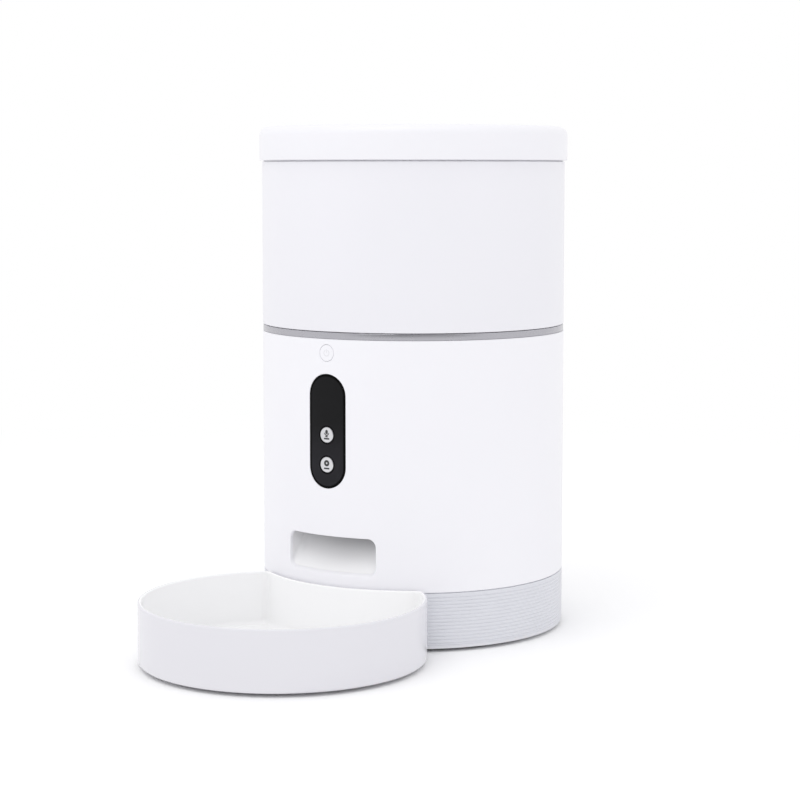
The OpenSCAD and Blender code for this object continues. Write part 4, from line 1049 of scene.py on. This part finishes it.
# Hopper: the white food tank that stands on the trim ring and lifts off for washing.
# A moulded tube with a spigot at its foot and a stepped neck for the lid; a funnel is welded inside.
hopper_white = grained(
    "hopper_white", ((0.858, 0.853, 0.895), (0.888, 0.883, 0.923)), (0.28, 0.38), 0.14, 8, 1500)
hopper_low, hopper_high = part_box("hopper")
plug_out = spigot_in - 2 * slip
plug_in = plug_out - wall
neck_out = body_r - 1.4 * mm
neck_in = neck_out - 3.2 * mm
step_z = hopper_high.z - 7.3 * mm
foot_z = trim_high.z + slip
ledge_z = foot_z + wall
hopper = turned("hopper_tank", [
    *stepped(plug_in, hopper_low.z, plug_out, foot_z, hopper_high.x, step_z, neck_out, hopper_high.z, neck_in,
             step_z - 4 * mm),
    (inner_r, step_z - 8 * mm), (inner_r, ledge_z), (plug_in, ledge_z),
], {0: 0.6 * mm, 1: 0.6 * mm, 3: 0.7 * mm, 4: 0.5 * mm, 6: 1.2 * mm, 7: 1.2 * mm}, steps=224)
settle(hopper, "hopper", "white_plastic", hopper_white, "hopper")
funnel_low, funnel_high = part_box("hopper_funnel")
funnel_out = inner_r - fit
throat_out = collar_in - 1.4 * slip
throat_in = throat_out - wall
cone_in = 100.61 * mm
cone_out = plug_in - 0.5 * mm
bend_in_z = 195.89 * mm
bend_out_z = funnel_low.z + 7 * mm
cone_out_z = 223.57 * mm
funnel = turned("hopper_funnel_cone", [
    *stepped(throat_in, funnel_low.z, throat_out, bend_out_z), (cone_out, cone_out_z),
    *stepped(cone_out, ledge_z, funnel_out, funnel_high.z, cone_in), (throat_in, bend_in_z),
], {0: 0.5 * mm, 1: 0.5 * mm, 2: 2 * mm, 7: 2 * mm, 8: 3 * mm})
settle(funnel, "hopper", "white_plastic", hopper_white, "hopper_funnel")

# Lid: the loose cover, with a liner and a seal inside and a twist-off holder for a drying bag.
# The cover and the liner are white mouldings, the seal and the holder are grey and softer.
lid_white = grained(
    "lid_white", ((0.895, 0.890, 0.930), (0.925, 0.920, 0.955)), (0.26, 0.36), 0.14, 9, 1500)
lid_low, lid_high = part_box("lid")
lid_in = lid_high.x - wall
lid_under = lid_high.z - wall
lid = turned("lid_cover", stepped(0, lid_high.z, lid_high.x, lid_low.z, lid_in, lid_under, 0),
             {1: 6.5 * mm, 2: 0.6 * mm, 3: 0.4 * mm, 4: 4.1 * mm}, steps=224)
liner_low, liner_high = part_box("lid_liner")
seal_low, seal_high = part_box("lid_seal")
liner_z = seal_high.z
liner_top = liner_z + 2.2 * mm
lid_post_r = 4 * mm
lid_post_reach = 0.6 * lid_high.x
lid_posts = peg("lid_posts", lid_post_r, liner_top, lid_under + 0.5 * mm)
add(lid, copied(lid_posts, spots(4, lid_post_reach, radians(45))))
settle(lid, "lid", "white_plastic", lid_white, "lid")
pocket_r = 32 * mm
pocket_out = pocket_r + wall
pocket_z = liner_high.z - 1.6 * mm
skirt_out = neck_in - 0.4 * mm
skirt_in = skirt_out - 2 * mm
liner_r = lid_in - fit
liner = turned("lid_liner_plate", stepped(
    0, pocket_z, pocket_r, liner_z, skirt_in, liner_low.z, skirt_out, liner_z, liner_r, liner_top, pocket_out,
    liner_high.z, 0,
), {1: mm, 2: 0.5 * mm, 3: mm, 4: 0.6 * mm, 5: 0.6 * mm, 8: 0.4 * mm, 10: mm})
settle(liner, "lid", "white_plastic", lid_white, "lid_liner")
seal_in = skirt_out + 0.05 * mm
seal = turned("lid_seal_ring", stepped(seal_in, seal_low.z, seal_high.x, seal_high.z, seal_in),
              {0: 0.7 * mm, 1: 0.7 * mm})
settle(seal, "lid", "silicone", soft_grey, "lid_seal")
holder_low, holder_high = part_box("desiccant_cap")
holder_top = liner_z - slip
holder_z = holder_top - 2.4 * mm
cage_out = pocket_r - 1.4 * slip
cage_in = cage_out - wall
holder = turned("desiccant_holder", stepped(
    0, holder_z, holder_high.x, holder_top, cage_out, holder_high.z, cage_in, holder_top, 0,
), {1: 0.8 * mm, 2: 0.5 * mm, 4: 0.5 * mm, 5: 0.5 * mm}, steps=120)
grip_end = holder_high.x - 6 * mm
grip_side = 2.5 * mm
grip = block(
    "grip", (-grip_end, -grip_side, holder_low.z), (grip_end, grip_side, holder_z + 0.5 * mm))
add(holder, ease(grip, mm, 4))
slit_in = 0.4 * holder_high.x
slit_out = 0.76 * holder_high.x
slit_half = 1.5 * mm
slit = block("slit", (slit_in, -slit_half, holder_z - mm), (slit_out, slit_half, holder_top + mm))
cut(holder, copied(ease(slit, slit_half - 0.05 * mm, 6, axis=2), turns(12, 15)))
settle(holder, "desiccant_cap", "silicone", soft_grey, "desiccant_cap")

# Bowl: the loose food bowl whose back is hollowed to hug the body, on four small rubber feet.
# Moulded in white plastic with a thin upright wall; the feet are glued into shallow wells. The inside of
#  the dish is painted nearly white over the greyer outside, as painted light falling into it.
bowl_low, bowl_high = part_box("bowl")
bowl_wall = 2.6 * mm
bowl_floor = bowl_low.z + 3 * mm
bowl_round = bowl_high.x
bowl_centre = Vector((0, bowl_low.y + bowl_round, 0))
corner_r = 8 * mm
hollow_r = body_r + 0.7 * mm
to_axis = hollow_r + corner_r
to_middle = bowl_round - corner_r
corner_y = (to_axis ** 2 - to_middle ** 2 + bowl_centre.y ** 2) / (2 * bowl_centre.y)
corner_x = sqrt(to_axis ** 2 - corner_y ** 2)
bowl_white = grained(
    "bowl_white", ((0.778, 0.771, 0.811), (0.808, 0.801, 0.841)), (0.16, 0.24), 0.08, 10, 1500)
tree, place, parts = surface(bowl_white)
# Painted light: the inside of the dish, clear of the body and above its foot, is painted nearly white.
inside = sums(tree, "LESS_THAN", reach(tree, place, bowl_centre, upright), bowl_round - bowl_wall / 2)
clear_of_body = sums(tree, "GREATER_THAN", reach(tree, place, (0, 0, 0), upright), hollow_r + bowl_wall / 2)
off_ground = sums(tree, "GREATER_THAN", parts["Z"], bowl_low.z + mm)
overlay(tree, sums(tree, "MULTIPLY", inside, clear_of_body, off_ground), (0.985, 0.985, 0.988))


def sweep(centre, turn):
    """Carries the selected point round a centre, anticlockwise as seen from above."""
    bpy.ops.mesh.spin(steps=max(10, int(abs(turn) * 48)), angle=-turn, center=centre, axis=(0, 0, 1))


front_sweep = radians(90) + atan2(corner_y - bowl_centre.y, corner_x)
hollow_half = atan2(corner_x, -corner_y)
corner_sweep = pi - front_sweep + hollow_half
bowl = start_point("bowl_dish", (0, bowl_low.y, bowl_low.z))
sweep(bowl_centre, front_sweep)
sweep((corner_x, corner_y, 0), corner_sweep)
sweep((0, 0, 0), -2 * hollow_half)
sweep((-corner_x, corner_y, 0), corner_sweep)
sweep(bowl_centre, front_sweep)
select_all()
bpy.ops.mesh.remove_doubles(threshold=close)
bpy.ops.mesh.edge_face_add()
extrude("region", (0, 0, bowl_high.z - bowl_low.z))
bpy.ops.mesh.inset(thickness=bowl_wall, use_even_offset=True)
extrude("region", (0, 0, bowl_floor - bowl_high.z))
for radius, strips, z in ((1.2 * mm, 5, bowl_high.z), (4.4 * mm, 8, bowl_floor), (2 * mm, 4, bowl_low.z)):
    soften(bowl, radius, strips, lambda co: abs(co.z - z) < close)
close_mesh()
pad_r = 5 * mm
pad_top = bowl_low.z + 0.8 * mm
pad_reach = 75 * mm
pad_places = []
for angle in (20, 160, 215, 325):
    turn = radians(angle)
    pad_places.append(at(pad_reach * cos(turn), bowl_centre.y + pad_reach * sin(turn)))
cut(bowl, copied(peg("wells", pad_r + fit, bowl_low.z - mm, pad_top), pad_places))
even_shading(bowl)
settle(bowl, "bowl", "white_plastic", bowl_white, "bowl")
pad = turned("pad", stepped(0, 0, pad_r, pad_top, 0), {1: 0.7 * mm}, steps=48)
settle(copied(pad, pad_places, "bowl_feet_pads"), "bowl", "rubber_grey", rubber, "bowl_feet")

# Studio: a white floor that keeps the object's shadow, a bright even surround and one large soft lamp.
# The floor fades to plain white away from the object. It is seen through from below, and light comes up
# through it where the body and the bowl stand, so that their undersides aren't black in views from there.
floor = created("studio_floor", bpy.ops.mesh.primitive_plane_add, size=12)


def seen_directly(tree, ray):
    """Mask of the rays that show the background itself: from the camera, a mirror or glass."""
    kinds = ("Camera", "Glossy", "Transmission")
    return sums(tree, "MAXIMUM", *(ray[f"Is {kind} Ray"] for kind in kinds))


def either(tree, mask, first, second):
    """The first of two shaders where a mask is 0, and the second where it is 1."""
    return add_node(tree, "ShaderNodeMixShader", {0: mask, 1: first.outputs[0], 2: second.outputs[0]})


floor_paint = bpy.data.materials.new("floor_paint")
floor_paint.use_nodes = True
tree = floor_paint.node_tree
tree.nodes.remove(tree.nodes["Principled BSDF"])
place = add_node(tree, "ShaderNodeTexCoord").outputs["Object"]
ray = add_node(tree, "ShaderNodeLightPath").outputs
shade = blend(tree, ray["Is Camera Ray"], (0.98, 0.98, 0.98, 1), (1.04, 1.04, 1.04, 1))
paint = add_node(tree, "ShaderNodeBsdfDiffuse", {"Color": shade})
glow = add_node(tree, "ShaderNodeEmission")
clear = add_node(tree, "ShaderNodeBsdfTransparent")
far = fade(tree, reach(tree, place, (0, 0, 0), upright), 0.40, 1.2)
top = either(tree, sums(tree, "MULTIPLY", seen_directly(tree, ray), far), paint, glow)
bowl_slide = 150 * mm
bowl_out = bowl_centre - Vector((0, bowl_slide, 0))
covered = 0.0
for middle, size in (((0, 0, 0), body_r), (bowl_centre, bowl_round), (bowl_out, bowl_round)):
    under = sums(tree, "LESS_THAN", reach(tree, place, middle, upright), size - 3 * mm)
    covered = sums(tree, "MAXIMUM", under, covered)
passing = 0.0
for kind, depth in (("Is Diffuse Ray", 1.5), ("Is Shadow Ray", 0.5)):
    early = sums(tree, "LESS_THAN", ray["Diffuse Depth"], depth)
    passing = sums(tree, "MAXIMUM", sums(tree, "MULTIPLY", ray[kind], early), passing)
passing = sums(tree, "MULTIPLY", passing, covered)
side = add_node(tree, "ShaderNodeNewGeometry")
both = either(tree, sums(tree, "MAXIMUM", side.outputs["Backfacing"], passing), top, clear)
feed(tree, tree.nodes["Material Output"], {"Surface": both.outputs[0]})
floor.data.materials.append(floor_paint)
eye_turn = radians(33)
to_eye = Vector((sin(eye_turn), -cos(eye_turn), 0))
world = bpy.data.worlds.new("studio_surround")
bpy.context.scene.world = world
world.use_nodes = True
tree = world.node_tree
fill = tree.nodes["Background"]
feed(tree, fill, {"Color": (0.99, 0.99, 1.0, 1), "Strength": 0.955})
outward = add_node(tree, "ShaderNodeTexCoord").outputs["Generated"]
dim = fade(tree, vectors(tree, "DOT_PRODUCT", outward, to_eye)["Value"], 0.55, 0.98, 1.0, 0.44)
ray = add_node(tree, "ShaderNodeLightPath").outputs
shown = add_node(tree, "ShaderNodeMix", {0: ray["Is Camera Ray"], 2: dim, 3: 1.0})
white = add_node(tree, "ShaderNodeBackground", {"Color": (1, 1, 1, 1), "Strength": shown.outputs[0]})
choice = either(tree, seen_directly(tree, ray), fill, white)
feed(tree, tree.nodes["World Output"], {"Surface": choice.outputs[0]})
key_place = Vector((-0.05, -1.0, 2.0))
key_target = Vector((0, 0, 0.15))
aim = (key_target - key_place).to_track_quat("-Z", "Y").to_euler()
key = created("key_lamp", bpy.ops.object.light_add, type="AREA", location=key_place, rotation=aim)
key.data.size = 1.5
key.data.energy = 5.5
eye_away = 1.5067
eye_height = 0.332
look_down = radians(5.267)
look_aside = radians(0.369)
camera = created(
    "Camera", bpy.ops.object.camera_add, location=eye_away * to_eye + Vector((0, 0, eye_height)),
    rotation=(pi / 2 - look_down, 0, eye_turn + look_aside))
camera.data.lens = 92.61
camera.data.sensor_width = 36
camera.data.shift_y = -0.05
bpy.context.scene.camera = camera
bpy.context.scene.view_settings.view_transform = "Standard"
